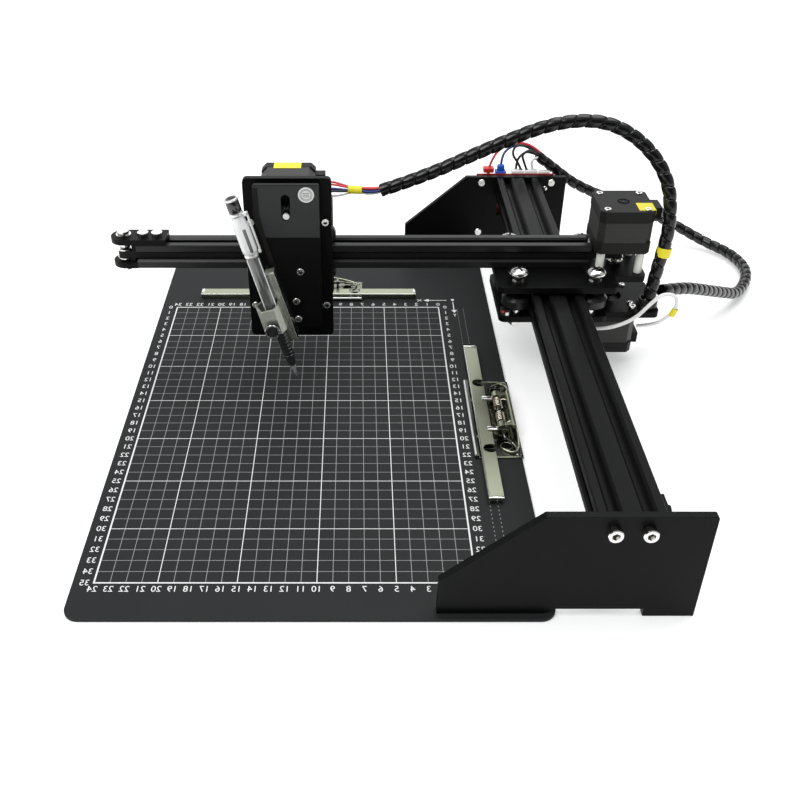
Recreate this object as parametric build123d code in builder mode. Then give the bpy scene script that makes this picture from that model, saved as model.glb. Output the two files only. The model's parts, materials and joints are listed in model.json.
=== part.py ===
"""A two-axis drawing machine that stands on its own printed mat.

Millimetres. The origin is on the table under the middle of the mat, +X runs along the arm towards
the rail, +Y runs along the rail away from the operator, and +Z is up.
"""

import math
import os

from build123d import *

# ---------------------------------------------------------------- driving dimensions
MAT_WIDTH = 300
MAT_LENGTH = 510
MAT_THICK = 2
MAT_CORNER = 10

RAIL_X = 185
RAIL_LENGTH = 490
RAIL_WIDTH = 40
PROFILE = 20
RAIL_Z = 69
END_PLATE_THICK = 5
END_PLATE_TOP = 79.5

SLOT_MOUTH = 9.2
SLOT_NECK = 5.9
SLOT_LIP = 1.65
SLOT_ROOM = 11
SLOT_SHOULDER = 3.4
SLOT_DEPTH = 6.05

GANTRY_Y = 50
PLATE_THICK = 5
TOP_PLATE_Z = 81
BOTTOM_PLATE_Z = 52
WHEEL_OFFSET = 30
Y_WHEEL_TIP = 11.5
X_WHEEL_TIP = 7.6

ARM_LEFT = -146
ARM_RIGHT = 214
ARM_Z = 96

MOTOR_SIZE = 42.3
MOTOR_LENGTH = 38
X_MOTOR_LENGTH = 35
MOTOR_BELL = 9
MOTOR_BOSS = 11
MOTOR_HOLES = 15.5
X_MOTOR_X = 236
Y_MOTOR_X = 235
STANDOFF_LENGTH = 18

BELT_WIDTH = 6
BELT_THICK = 1.4
BELT_RADIUS = 5.1
X_IDLER_X = -156.5
Y_IDLER_X = 212
Y_IDLER_OFFSET = 9.5

HEAD_X = -24
HEAD_WHEEL_X = 28.5
HEAD_WHEEL_Z = 16
HEAD_SCREW_Z = 36
HEAD_FRONT = 31
HEAD_BACK = 64
HEAD_BOTTOM = 29.5
HEAD_TOP = 165.5

Z_MOTOR_X = -24.5
Z_MOTOR_Z = 140
PINION_TEETH = 12
PINION_RADIUS = 6
LIFT_FRONT = 19
LIFT_THICK = 4

PEN_TIP = (-20, 0, 10)
PEN_TOP = (-62.5, 0, 163)
PEN_LENGTH = 159

M5_SHANK = 2.45
M5_HOLE = 2.5
M3_SHANK = 1.45
M3_HOLE = 1.5
AXLE_GAP = 0.05
HUB_DISH = 0.6
SIDE_GAP = 0.3

BOARD_X = (146.5, 222.5)
BOARD_Z = (17, 78.4)
BOARD_BACK = 6
BOARD_THICK = 1.6
BOARD_HOLE_X = (150.5, 218.5)
BOARD_HOLE_Z = (22, 74)

CLIP_LENGTH = 200
CLIP_BASE_LENGTH = 100
CLIP_AXLE = 13
CLIP_AXLE_Z = 7.5

HARNESS_DIAMETER = 10
LEAD_DIAMETER = 3

HALF_RAIL = RAIL_LENGTH / 2
HALF_PROFILE = PROFILE / 2
TOP_PLATE_TOP = TOP_PLATE_Z + PLATE_THICK
BOTTOM_PLATE_TOP = BOTTOM_PLATE_Z + PLATE_THICK
ARM_TOP = ARM_Z + HALF_PROFILE
X_MOTOR_FACE = TOP_PLATE_TOP + STANDOFF_LENGTH
BOARD_Y = HALF_RAIL + END_PLATE_THICK + BOARD_BACK


# ---------------------------------------------------------------- planes and simple solids
def upright(y):
    """A sketch plane at depth y: x is X, y is Z, and it extrudes towards the operator."""
    return Plane((0, y, 0), x_dir=(1, 0, 0), z_dir=(0, -1, 0))


def sideways(x):
    """A sketch plane across the arm at x: x is Y, y is Z, and it extrudes towards +X."""
    return Plane((x, 0, 0), x_dir=(0, 1, 0), z_dir=(1, 0, 0))


def block(low, high, mode=Mode.ADD):
    """A box between two corners."""
    centre = [(a + b) / 2 for a, b in zip(low, high)]
    size = [b - a for a, b in zip(low, high)]
    with Locations(tuple(centre)):
        Box(*size, mode=mode)


def post(place, radius, height, mode=Mode.ADD):
    """A round post that stands on place and runs up."""
    with Locations(place):
        Cylinder(radius, height, align=(Align.CENTER, Align.CENTER, Align.MIN), mode=mode)


def bar(place, radius, length, mode=Mode.ADD):
    """A round bar that starts at place and runs away from the operator."""
    with Locations(place):
        Cylinder(
            radius, length, rotation=(-90, 0, 0), align=(Align.CENTER, Align.CENTER, Align.MIN), mode=mode
        )


def cross_bar(place, radius, length, mode=Mode.ADD):
    """A round bar that starts at place and runs towards +X."""
    with Locations(place):
        Cylinder(
            radius, length, rotation=(0, 90, 0), align=(Align.CENTER, Align.CENTER, Align.MIN), mode=mode
        )


def write(built, name):
    """Labels a finished piece and writes its STEP file."""
    built.part.label = name
    export_step(built.part, f"parts/{name}.step")


def corners(x, y, dx, dy):
    """The four corners of a rectangle about (x, y)."""
    return [(x + i * dx, y + j * dy) for i in (-1, 1) for j in (-1, 1)]


# ---------------------------------------------------------------- repeated shapes
def slot_cut(x, y, angle):
    """One V slot in a profile sketch, its mouth at (x, y) and its depth along angle minus 90."""
    outline = [
        (SLOT_MOUTH / 2 + 0.2, 0.2),
        (SLOT_NECK / 2, -SLOT_LIP),
        (SLOT_ROOM / 2, -SLOT_LIP),
        (SLOT_ROOM / 2, -SLOT_SHOULDER),
        (SLOT_ROOM / 2 - SLOT_DEPTH + SLOT_SHOULDER, -SLOT_DEPTH),
    ]
    mirrored = [(-a, b) for a, b in reversed(outline)]
    with Locations(Location((x, y, 0), (0, 0, angle))):
        Polygon(*outline, *mirrored, align=None, mode=Mode.SUBTRACT)


def v_wheel(tip, width):
    """A grooved-rail wheel on the local Z axis: two bevelled sides, a dished hub and a bore."""
    half = width / 2
    bevel = half - SLOT_NECK / 2 + SLOT_LIP / 6
    rim = width - 2 * bevel
    Cylinder(tip, rim)
    for side in (-1, 1):
        with Locations(Location((0, 0, side * rim / 2), (0, 0 if side > 0 else 180, 0))):
            Cone(tip, tip - bevel, bevel, align=(Align.CENTER, Align.CENTER, Align.MIN))
        with Locations((0, 0, side * half)):
            Cylinder(tip * 0.62, 2 * HUB_DISH, mode=Mode.SUBTRACT)
        with Locations((0, 0, side * (half - HUB_DISH / 2))):
            Cylinder(tip * 0.42, HUB_DISH)
    Cylinder(M5_SHANK + AXLE_GAP, width + 2, mode=Mode.SUBTRACT)


def belt_wheel(toothed):
    """A flanged belt wheel on the local Z axis, centred on the belt: plain for an idler."""
    barrel = BELT_RADIUS - BELT_THICK / 2 - SIDE_GAP
    half = BELT_WIDTH / 2 + SIDE_GAP
    Cylinder(barrel, 2 * half)
    for side in (-1, 1):
        with Locations((0, 0, side * (half + 0.4))):
            Cylinder(BELT_RADIUS + 1.4, 0.8)
    if toothed:
        with PolarLocations(barrel, 16):
            Cylinder(0.45, 2 * half, mode=Mode.SUBTRACT)


def motor(length=MOTOR_LENGTH, connector_shift=0):
    """A square stepper motor: its face is at local z=0, its shaft side points up, its body is below."""
    with BuildSketch(Plane.XY) as square:
        Rectangle(MOTOR_SIZE, MOTOR_SIZE)
        chamfer(square.vertices(), 3.6)
    with BuildSketch(Plane.XY.offset(-MOTOR_BELL)) as stack:
        Rectangle(MOTOR_SIZE - 0.5, MOTOR_SIZE - 0.5)
        chamfer(stack.vertices(), 4.6)
    end_bell = extrude(square.sketch, amount=-MOTOR_BELL, mode=Mode.PRIVATE)
    add(end_bell)
    add(extrude(stack.sketch, amount=2 * MOTOR_BELL - length, mode=Mode.PRIVATE))
    with Locations((0, 0, MOTOR_BELL - length)):
        add(end_bell)
    post((0, 0, 0), MOTOR_BOSS, 2)
    post((0, 0, -12), 2.5 + AXLE_GAP, 14.1, mode=Mode.SUBTRACT)
    with Locations((MOTOR_SIZE / 2 + 3.5, connector_shift, MOTOR_BELL / 2 - length + 2)):
        Box(8, 16, 9)


def profile_end(x, y):
    """The round screw channel in the middle of a square of profile."""
    with Locations((x, y)):
        Circle(M5_HOLE + 0.05, mode=Mode.SUBTRACT)


def cord_radii(points):
    """The largest tangent arc at each inner point of a cord's route."""
    radii = []
    for before, here, after in zip(points, points[1:], points[2:]):
        run_in = Vector(*here) - Vector(*before)
        run_out = Vector(*after) - Vector(*here)
        half_turn = math.radians(run_in.get_angle(run_out)) / 2
        radii.append(0.45 * min(run_in.length, run_out.length) / math.tan(half_turn))
    return radii


def cord_tube(name, points, diameter):
    """A round cord along straight runs and tangent arcs."""
    radii = cord_radii(points)
    with BuildLine():
        route = FilletPolyline(*points, radius=radii)
    with BuildSketch(Plane(origin=route @ 0, z_dir=route % 0)) as section:
        Circle(diameter / 2)
    sweep(section.sketch, path=route)
    print(name, "length", round(route.length, 1), "radii", [round(r) for r in radii])
    return math.pi * diameter**2 / 4 * route.length


os.makedirs("parts", exist_ok=True)

# ---------------------------------------------------------------- mat
with BuildPart() as drawing_mat:
    with BuildSketch():
        RectangleRounded(MAT_WIDTH, MAT_LENGTH, MAT_CORNER)
    extrude(amount=MAT_THICK)
write(drawing_mat, "drawing_mat")


# ---------------------------------------------------------------- end plates and rail
FOOT_LEFT = (77, 142)
FOOT_RIGHT = (202, 233)
NOTCH_TOP = 6
SLOPE_LOW = 29
SLOPE_TOP_X = 135.6
BOLT_X = (RAIL_X - HALF_PROFILE, RAIL_X + HALF_PROFILE)
WINDOW = ((167.5, 40), (195, 57))


def end_plate_body(back_y):
    """The sloping end plate: its long foot is on the mat and its short foot is on the table."""
    with BuildSketch(upright(back_y)) as outline:
        with BuildLine():
            Polyline(
                (FOOT_LEFT[0], MAT_THICK),
                (FOOT_LEFT[0], SLOPE_LOW),
                (SLOPE_TOP_X, END_PLATE_TOP),
                (FOOT_RIGHT[1], END_PLATE_TOP),
                (FOOT_RIGHT[1], 0),
                (FOOT_RIGHT[0], 0),
                (FOOT_RIGHT[0], NOTCH_TOP),
                (FOOT_LEFT[1] + NOTCH_TOP - MAT_THICK, NOTCH_TOP),
                (FOOT_LEFT[1], MAT_THICK),
                close=True,
            )
        make_face()
        for x in BOLT_X:
            with Locations((x, RAIL_Z)):
                Circle(M5_HOLE, mode=Mode.SUBTRACT)
    extrude(outline.sketch, amount=END_PLATE_THICK)


with BuildPart() as front_end_plate:
    end_plate_body(-HALF_RAIL)
    top_corner = front_end_plate.edges().filter_by(Axis.Y).group_by(Axis.Z)[-1].sort_by(Axis.X)[-1]
    fillet(top_corner, 1.5)
write(front_end_plate, "front_end_plate")

with BuildPart() as rear_end_plate:
    end_plate_body(HALF_RAIL + END_PLATE_THICK)
    (low_x, low_z), (high_x, high_z) = WINDOW
    block((low_x, HALF_RAIL - 1, low_z), (high_x, HALF_RAIL + 6, high_z), mode=Mode.SUBTRACT)
    for x in BOARD_HOLE_X:
        for z in BOARD_HOLE_Z:
            bar((x, HALF_RAIL - 1, z), M3_HOLE, END_PLATE_THICK + 2, mode=Mode.SUBTRACT)
write(rear_end_plate, "rear_end_plate")

with BuildPart() as y_rail:
    with BuildSketch(upright(HALF_RAIL)):
        with Locations((RAIL_X, RAIL_Z)):
            RectangleRounded(RAIL_WIDTH, PROFILE, 0.8)
        for x in BOLT_X:
            slot_cut(x, RAIL_Z + HALF_PROFILE, 0)
            slot_cut(x, RAIL_Z - HALF_PROFILE, 180)
            profile_end(x, RAIL_Z)
        slot_cut(RAIL_X + RAIL_WIDTH / 2, RAIL_Z, -90)
        slot_cut(RAIL_X - RAIL_WIDTH / 2, RAIL_Z, 90)
        with Locations((RAIL_X, RAIL_Z)):
            Rectangle(6, 16, mode=Mode.SUBTRACT)
    extrude(amount=RAIL_LENGTH)
write(y_rail, "y_rail")

with BuildPart() as rail_bolts:
    for x in BOLT_X:
        front = -HALF_RAIL - END_PLATE_THICK
        bar((x, front, RAIL_Z), M5_SHANK, 22)
        bar((x, front - 5.2, RAIL_Z), 4.6, 5.2)
        bar((x, front - 5.3, RAIL_Z), 2.3, 3, mode=Mode.SUBTRACT)
        bar((x, -front - 22, RAIL_Z), M5_SHANK, 22)
        bar((x, -front, RAIL_Z), 4.6, 5.2)
        bar((x, -front + 2.3, RAIL_Z), 2.3, 3, mode=Mode.SUBTRACT)
write(rail_bolts, "rail_bolts")

BELT_LANE_X = RAIL_X + RAIL_WIDTH / 2 - SLOT_DEPTH + 1.05
with BuildPart() as y_belt:
    block(
        (BELT_LANE_X - BELT_THICK / 2, -HALF_RAIL, RAIL_Z - BELT_WIDTH / 2),
        (BELT_LANE_X + BELT_THICK / 2, HALF_RAIL, RAIL_Z + BELT_WIDTH / 2),
    )
write(y_belt, "y_belt")

CLAMP_Y = 233.5
with BuildPart() as y_belt_clamps:
    rail_side = RAIL_X + RAIL_WIDTH / 2
    for y in (-CLAMP_Y, CLAMP_Y):
        block((BELT_LANE_X + BELT_THICK / 2, y - 7, RAIL_Z - 2.7), (rail_side + 0.5, y + 7, RAIL_Z + 2.7))
        block((rail_side, y - 8, RAIL_Z - 7), (rail_side + 3, y + 8, RAIL_Z + 7))
        cross_bar((rail_side + 3, y, RAIL_Z), 4.2, 2.6)
write(y_belt_clamps, "y_belt_clamps")


# ---------------------------------------------------------------- control board
with BuildPart() as control_board:
    block(
        (BOARD_X[0], BOARD_Y, BOARD_Z[0]),
        (BOARD_X[1], BOARD_Y + BOARD_THICK, BOARD_Z[1]),
    )
    for x in BOARD_HOLE_X:
        for z in BOARD_HOLE_Z:
            bar((x, BOARD_Y - 1, z), M3_HOLE, BOARD_THICK + 2, mode=Mode.SUBTRACT)
write(control_board, "control_board")

with BuildPart() as board_mounts:
    plate_back = HALF_RAIL + END_PLATE_THICK
    for x in BOARD_HOLE_X:
        for z in BOARD_HOLE_Z:
            bar((x, plate_back, z), 3, BOARD_BACK)
            bar((x, HALF_RAIL, z), M3_SHANK, END_PLATE_THICK + BOARD_BACK + BOARD_THICK + 2)
            bar((x, HALF_RAIL - 2, z), 3, 2)
            bar((x, BOARD_Y + BOARD_THICK, z), 2.8, 2)
write(board_mounts, "board_mounts")

with BuildPart() as board_parts:
    face = BOARD_Y + BOARD_THICK
    block((153, face, 78.2), (164, face + 8, 83.5))
    block((165, face, 68), (176, face + 8, 86))
    block((181, face, 66), (207, face + 7, 78))
    for x in (160, 178, 196):
        block((x, face, 44), (x + 14, face + 9, 62))
    block((158, face, 28), (170, face + 11, 38))
    block((190, face, 28), (200, face + 12, 39))
write(board_parts, "board_parts")


# ---------------------------------------------------------------- file clips on the mat
SIDE_CLIP = Plane((125, -49, MAT_THICK), x_dir=(0, -1, 0), z_dir=(0, 0, 1))
FAR_CLIP = Plane((-16.4, 147, MAT_THICK), x_dir=(1, 0, 0), z_dir=(0, 0, 1))


def clip_base():
    """The pressed base: a flat plate with four holes, a rolled front edge and two axle ears."""
    half = CLIP_BASE_LENGTH / 2
    block((-half, -7.5, 0), (half, 26, 1))
    block((-half, -9.5, 0), (half, -6.5, 3.2))
    for u in (-43, 43):
        post((u, 2, -1), 4.6, 5, mode=Mode.SUBTRACT)
    for u in (-36, 36):
        post((u, 15, -1), 4.2, 5, mode=Mode.SUBTRACT)
    for u in (-27, 27):
        block((u - 1, CLIP_AXLE - 4, 1), (u + 1, CLIP_AXLE + 4, CLIP_AXLE_Z + 3))
    cross_bar((-29, CLIP_AXLE, CLIP_AXLE_Z), 1.6, 58)


def clip_jaw():
    """The long pressing bar, its two rocker arms and the thumb lever, all on the axle."""
    half = CLIP_LENGTH / 2
    under = 3.6
    block((-half, -5.5, under), (half, 5.5, under + 1.2))
    block((-half, -5.5, 1.5), (half, -4.3, under + 1.2))
    block((-51, -7, -1), (51, -4, under - 0.05), mode=Mode.SUBTRACT)
    for u in (-43, 43):
        post((u, 2, 0), 5.2, 10, mode=Mode.SUBTRACT)
    for u in (-20, 20):
        block((u - 1.5, 4, under), (u + 1.5, CLIP_AXLE + 2, under + 1.2))
        cross_bar((u - 3, CLIP_AXLE, CLIP_AXLE_Z), 3.4, 6)
        block((u - 1.5, CLIP_AXLE - 2, under), (u + 1.5, CLIP_AXLE + 2, CLIP_AXLE_Z))
        block((u - 1.5, CLIP_AXLE, CLIP_AXLE_Z), (u + 1.5, CLIP_AXLE + 9, CLIP_AXLE_Z + 3))
    cross_bar((-23, CLIP_AXLE + 9, CLIP_AXLE_Z + 2), 1.8, 46)
    cross_bar((-30, CLIP_AXLE, CLIP_AXLE_Z), 1.6 + AXLE_GAP, 60, mode=Mode.SUBTRACT)


with BuildPart(SIDE_CLIP) as side_clip_base:
    clip_base()
write(side_clip_base, "side_clip_base")

with BuildPart(SIDE_CLIP) as side_clip_jaw:
    clip_jaw()
write(side_clip_jaw, "side_clip_jaw")

with BuildPart(FAR_CLIP) as far_clip_base:
    clip_base()
write(far_clip_base, "far_clip_base")

with BuildPart(FAR_CLIP) as far_clip_jaw:
    clip_jaw()
write(far_clip_jaw, "far_clip_jaw")


# ---------------------------------------------------------------- gantry
WHEEL_SPOTS = corners(RAIL_X, GANTRY_Y, WHEEL_OFFSET, WHEEL_OFFSET)
IDLER_SPOTS = [(Y_IDLER_X, GANTRY_Y + side * Y_IDLER_OFFSET) for side in (-1, 1)]
ARM_SCREW_SPOTS = [(144, GANTRY_Y), (158, GANTRY_Y)]
X_MOTOR_SPOTS = corners(X_MOTOR_X, GANTRY_Y, MOTOR_HOLES, MOTOR_HOLES)
Y_MOTOR_SPOTS = corners(Y_MOTOR_X, GANTRY_Y, MOTOR_HOLES, MOTOR_HOLES)
CLAMP_X = 263
CLAMP_FRONT_Y = 30
CLAMP_RADIUS = 7.6
PLATE_CORNER = 5
NECK_HEIGHT = 6.5
WASHER_RADIUS = 8
WASHER_THICK = 1.6


def gantry_outline(width, depth, right, tab_front, tab_back):
    """A plate under the four wheels with a tab for the motor."""
    with Locations((RAIL_X, GANTRY_Y)):
        RectangleRounded(width, depth, PLATE_CORNER)
    with Locations(((RAIL_X + right) / 2, (tab_front + tab_back) / 2)):
        RectangleRounded(right - RAIL_X, tab_back - tab_front, PLATE_CORNER)


def drill(spots, radius):
    """Round holes in a plate sketch."""
    with Locations(*spots):
        Circle(radius, mode=Mode.SUBTRACT)


with BuildPart() as gantry_top_plate:
    with BuildSketch(Plane.XY.offset(TOP_PLATE_Z)):
        gantry_outline(94, 86, 257, 26, 74)
        drill(WHEEL_SPOTS + IDLER_SPOTS + ARM_SCREW_SPOTS, M5_HOLE)
        drill(X_MOTOR_SPOTS, M3_HOLE)
    extrude(amount=PLATE_THICK)
write(gantry_top_plate, "gantry_top_plate")

with BuildPart() as gantry_bottom_plate:
    with BuildSketch(Plane.XY.offset(BOTTOM_PLATE_Z)):
        gantry_outline(86, 74, 271, 20, 74)
        drill(WHEEL_SPOTS + IDLER_SPOTS, M5_HOLE)
        drill(Y_MOTOR_SPOTS, M3_HOLE)
        drill([(Y_MOTOR_X, GANTRY_Y)], MOTOR_BOSS + 0.1)
    extrude(amount=PLATE_THICK)
write(gantry_bottom_plate, "gantry_bottom_plate")

WHEEL_HALF = 5.1
with BuildPart() as gantry_spacers:
    upper = RAIL_Z + WHEEL_HALF + SIDE_GAP
    lower = RAIL_Z - WHEEL_HALF - SIDE_GAP
    for x, y in WHEEL_SPOTS:
        post((x, y, upper), 4, TOP_PLATE_Z - upper)
        post((x, y, BOTTOM_PLATE_TOP), 4, lower - BOTTOM_PLATE_TOP)
        post((x, y, BOTTOM_PLATE_Z), M5_HOLE, TOP_PLATE_TOP - BOTTOM_PLATE_Z, mode=Mode.SUBTRACT)
write(gantry_spacers, "gantry_spacers")

with BuildPart() as gantry_bolts:
    for x, y in WHEEL_SPOTS:
        post((x, y, BOTTOM_PLATE_Z - 6), M5_SHANK, TOP_PLATE_TOP - BOTTOM_PLATE_Z + 8)
        post((x, y, BOTTOM_PLATE_Z - 5), 4.5, 5)
        post((x, y, TOP_PLATE_TOP), 4.4, NECK_HEIGHT)
        post((x, y, TOP_PLATE_TOP + NECK_HEIGHT), WASHER_RADIUS, WASHER_THICK)
        with Locations((x, y, TOP_PLATE_TOP + NECK_HEIGHT + WASHER_THICK)):
            Cone(0.9 * WASHER_RADIUS, 3.6, 2.6, align=(Align.CENTER, Align.CENTER, Align.MIN))
    for x, y in IDLER_SPOTS:
        post((x, y, BOTTOM_PLATE_Z), M5_SHANK, TOP_PLATE_TOP - BOTTOM_PLATE_Z - 0.5)
    for x, y in ARM_SCREW_SPOTS:
        post((x, y, TOP_PLATE_Z - 4), 4.2, 4)
        post((x, y, TOP_PLATE_Z), M5_SHANK, PLATE_THICK)
    for x, y in Y_MOTOR_SPOTS:
        post((x, y, BOTTOM_PLATE_Z), M3_SHANK, PLATE_THICK)
        post((x, y, BOTTOM_PLATE_TOP), 2.8, 2)
    for x, y in X_MOTOR_SPOTS:
        post((x, y, TOP_PLATE_Z - 2), 2.8, 2)
        post((x, y, TOP_PLATE_Z), M3_SHANK, PLATE_THICK)
    post((CLAMP_X - 13, CLAMP_FRONT_Y - 4, BOTTOM_PLATE_TOP), 2.8, 3)
write(gantry_bolts, "gantry_bolts")

with BuildPart() as x_arm:
    with BuildSketch(sideways(ARM_LEFT)):
        with Locations((GANTRY_Y, ARM_Z)):
            RectangleRounded(PROFILE, PROFILE, 0.8)
        for angle, dy, dz in ((0, 0, 1), (90, -1, 0), (180, 0, -1), (-90, 1, 0)):
            slot_cut(GANTRY_Y + dy * HALF_PROFILE, ARM_Z + dz * HALF_PROFILE, angle)
        profile_end(GANTRY_Y, ARM_Z)
    extrude(amount=ARM_RIGHT - ARM_LEFT)
write(x_arm, "x_arm")

BRACKET_RIGHT = -122
BRACKET_SCREWS = (-141, -130)
BRACKET_PLATE = 4.5
with BuildPart() as idler_bracket:
    with BuildSketch(Plane.XY.offset(ARM_TOP)):
        with Locations((X_IDLER_X, GANTRY_Y)):
            Circle(HALF_PROFILE)
        with Locations(((X_IDLER_X + BRACKET_RIGHT) / 2, GANTRY_Y)):
            Rectangle(BRACKET_RIGHT - X_IDLER_X, PROFILE)
        drill([(X_IDLER_X, GANTRY_Y)], M5_HOLE)
        drill([(x, GANTRY_Y) for x in BRACKET_SCREWS], M5_HOLE)
    extrude(amount=BRACKET_PLATE)
    with BuildSketch(Plane.XY.offset(ARM_Z - HALF_PROFILE)):
        with Locations((X_IDLER_X, GANTRY_Y)):
            Circle(HALF_PROFILE)
        with Locations(((X_IDLER_X + ARM_LEFT) / 2, GANTRY_Y)):
            Rectangle(ARM_LEFT - X_IDLER_X, PROFILE)
        drill([(X_IDLER_X, GANTRY_Y)], M5_HOLE)
    extrude(amount=4)
    block((ARM_LEFT - 3.2, GANTRY_Y - 3, ARM_Z - HALF_PROFILE), (ARM_LEFT, GANTRY_Y + 3, ARM_TOP))
    for z in (ARM_Z - 7.5, ARM_Z + 7.5):
        block(
            (ARM_LEFT - 3.2, GANTRY_Y - HALF_PROFILE, z - 2.5),
            (ARM_LEFT, GANTRY_Y + HALF_PROFILE, z + 2.5),
        )
write(idler_bracket, "idler_bracket")

BRACKET_TOP = ARM_TOP + BRACKET_PLATE
with BuildPart() as bracket_screws:
    for x in BRACKET_SCREWS:
        post((x, GANTRY_Y, ARM_TOP - 1.6), M5_SHANK, BRACKET_PLATE + 1.6)
        post((x, GANTRY_Y, BRACKET_TOP), 4.4, 2.6)
    post((X_IDLER_X, GANTRY_Y, ARM_Z - HALF_PROFILE - 4), M5_SHANK, PROFILE + 4 + BRACKET_PLATE)
    post((X_IDLER_X, GANTRY_Y, ARM_Z - HALF_PROFILE - 4), 4.4, 4)
    post((X_IDLER_X, GANTRY_Y, ARM_Z + 4.5), 4, ARM_TOP - ARM_Z - 4.5)
    post((X_IDLER_X, GANTRY_Y, BRACKET_TOP), 6, 1.2)
    post((X_IDLER_X, GANTRY_Y, BRACKET_TOP + 1.2), 4.6, 2.8)
write(bracket_screws, "bracket_screws")

with BuildPart() as x_belt:
    with BuildSketch(Plane.XY.offset(ARM_Z - BELT_WIDTH / 2)):
        with Locations(((X_IDLER_X + X_MOTOR_X) / 2, GANTRY_Y)):
            span = X_MOTOR_X - X_IDLER_X
            SlotCenterToCenter(span, 2 * BELT_RADIUS + BELT_THICK)
            SlotCenterToCenter(span, 2 * BELT_RADIUS - BELT_THICK, mode=Mode.SUBTRACT)
    extrude(amount=BELT_WIDTH)
write(x_belt, "x_belt")

with BuildPart() as y_drive_belt:
    with BuildSketch(Plane.XY.offset(RAIL_Z - BELT_WIDTH / 2)):
        with BuildLine() as loop:
            lane = Y_IDLER_X - BELT_RADIUS
            inner = GANTRY_Y - Y_IDLER_OFFSET + BELT_RADIUS
            outer = GANTRY_Y + Y_IDLER_OFFSET - BELT_RADIUS
            ThreePointArc(
                (lane, inner - BELT_RADIUS),
                (Y_IDLER_X - BELT_RADIUS * math.sqrt(0.5), inner - BELT_RADIUS * (1 - math.sqrt(0.5))),
                (Y_IDLER_X, inner),
            )
            Line((Y_IDLER_X, inner), (Y_MOTOR_X, GANTRY_Y - BELT_RADIUS))
            ThreePointArc(
                (Y_MOTOR_X, GANTRY_Y - BELT_RADIUS),
                (Y_MOTOR_X + BELT_RADIUS, GANTRY_Y),
                (Y_MOTOR_X, GANTRY_Y + BELT_RADIUS),
            )
            Line((Y_MOTOR_X, GANTRY_Y + BELT_RADIUS), (Y_IDLER_X, outer))
            ThreePointArc(
                (Y_IDLER_X, outer),
                (Y_IDLER_X - BELT_RADIUS * math.sqrt(0.5), outer + BELT_RADIUS * (1 - math.sqrt(0.5))),
                (lane, outer + BELT_RADIUS),
            )
        trace(line_width=BELT_THICK)
    extrude(amount=BELT_WIDTH)
write(y_drive_belt, "y_drive_belt")

X_MOTOR_PLANE = Plane((X_MOTOR_X, GANTRY_Y, X_MOTOR_FACE), x_dir=(1, 0, 0), z_dir=(0, 0, -1))
with BuildPart(X_MOTOR_PLANE) as x_motor:
    motor(X_MOTOR_LENGTH)
write(x_motor, "x_motor")

with BuildPart(Plane((Y_MOTOR_X, GANTRY_Y, BOTTOM_PLATE_Z))) as y_motor:
    motor()
write(y_motor, "y_motor")

with BuildPart() as motor_standoffs:
    for x, y in X_MOTOR_SPOTS:
        post((x, y, TOP_PLATE_TOP), 3.25, STANDOFF_LENGTH)
write(motor_standoffs, "motor_standoffs")

with BuildPart() as cable_clamp:
    post((CLAMP_X, CLAMP_FRONT_Y, BOTTOM_PLATE_TOP), CLAMP_RADIUS, 8)
    block(
        (CLAMP_X - 7, CLAMP_FRONT_Y - 7.2, BOTTOM_PLATE_TOP),
        (CLAMP_X, CLAMP_FRONT_Y + 7.2, BOTTOM_PLATE_TOP + 3),
    )
    post((CLAMP_X, CLAMP_FRONT_Y, BOTTOM_PLATE_TOP + 1.5), 6, 7, mode=Mode.SUBTRACT)
write(cable_clamp, "cable_clamp")

with BuildPart() as limit_switch:
    block((143, 13.6, BOTTOM_PLATE_TOP), (150, 19.6, BOTTOM_PLATE_TOP + 5.8))
    block((143.5, 13, BOTTOM_PLATE_TOP + 1), (149, 13.6, BOTTOM_PLATE_TOP + 4))
write(limit_switch, "limit_switch")

for number, (x, y) in enumerate(WHEEL_SPOTS, start=1):
    with BuildPart(Plane((x, y, RAIL_Z))) as y_wheel:
        v_wheel(Y_WHEEL_TIP, 2 * WHEEL_HALF)
    write(y_wheel, f"y_wheel_{number}")

for name, (x, y) in zip(("y_idler_front", "y_idler_rear"), IDLER_SPOTS):
    with BuildPart(Plane((x, y, RAIL_Z))) as y_idler:
        belt_wheel(toothed=False)
        Cylinder(M5_SHANK + AXLE_GAP, 12, mode=Mode.SUBTRACT)
    write(y_idler, name)

with BuildPart(Plane((X_IDLER_X, GANTRY_Y, ARM_Z))) as x_idler:
    belt_wheel(toothed=False)
    Cylinder(M5_SHANK + AXLE_GAP, 12, mode=Mode.SUBTRACT)
write(x_idler, "x_idler")

with BuildPart(Plane((X_MOTOR_X, GANTRY_Y, ARM_Z))) as x_pulley:
    belt_wheel(toothed=True)
    post((0, 0, -7), 2.5, X_MOTOR_FACE + 10 - ARM_Z + 7)
    post((0, 0, 4.1), 6.4, 1.5)
write(x_pulley, "x_pulley")

with BuildPart(Plane((Y_MOTOR_X, GANTRY_Y, RAIL_Z))) as y_pulley:
    belt_wheel(toothed=True)
    post((0, 0, BOTTOM_PLATE_Z - 10 - RAIL_Z), 2.5, RAIL_Z - BOTTOM_PLATE_Z + 10 + 9)
    post((0, 0, -10.1), 6.4, 6)
write(y_pulley, "y_pulley")


# ---------------------------------------------------------------- head
HEAD_HALF = 33.5
HEAD_CORNERS = corners(HEAD_X, ARM_Z - 1, HEAD_WHEEL_X, HEAD_SCREW_Z)
AXLE_SPOTS = corners(HEAD_X, ARM_Z, HEAD_WHEEL_X, HEAD_WHEEL_Z)
X_WHEEL_HALF = 4.4

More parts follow.
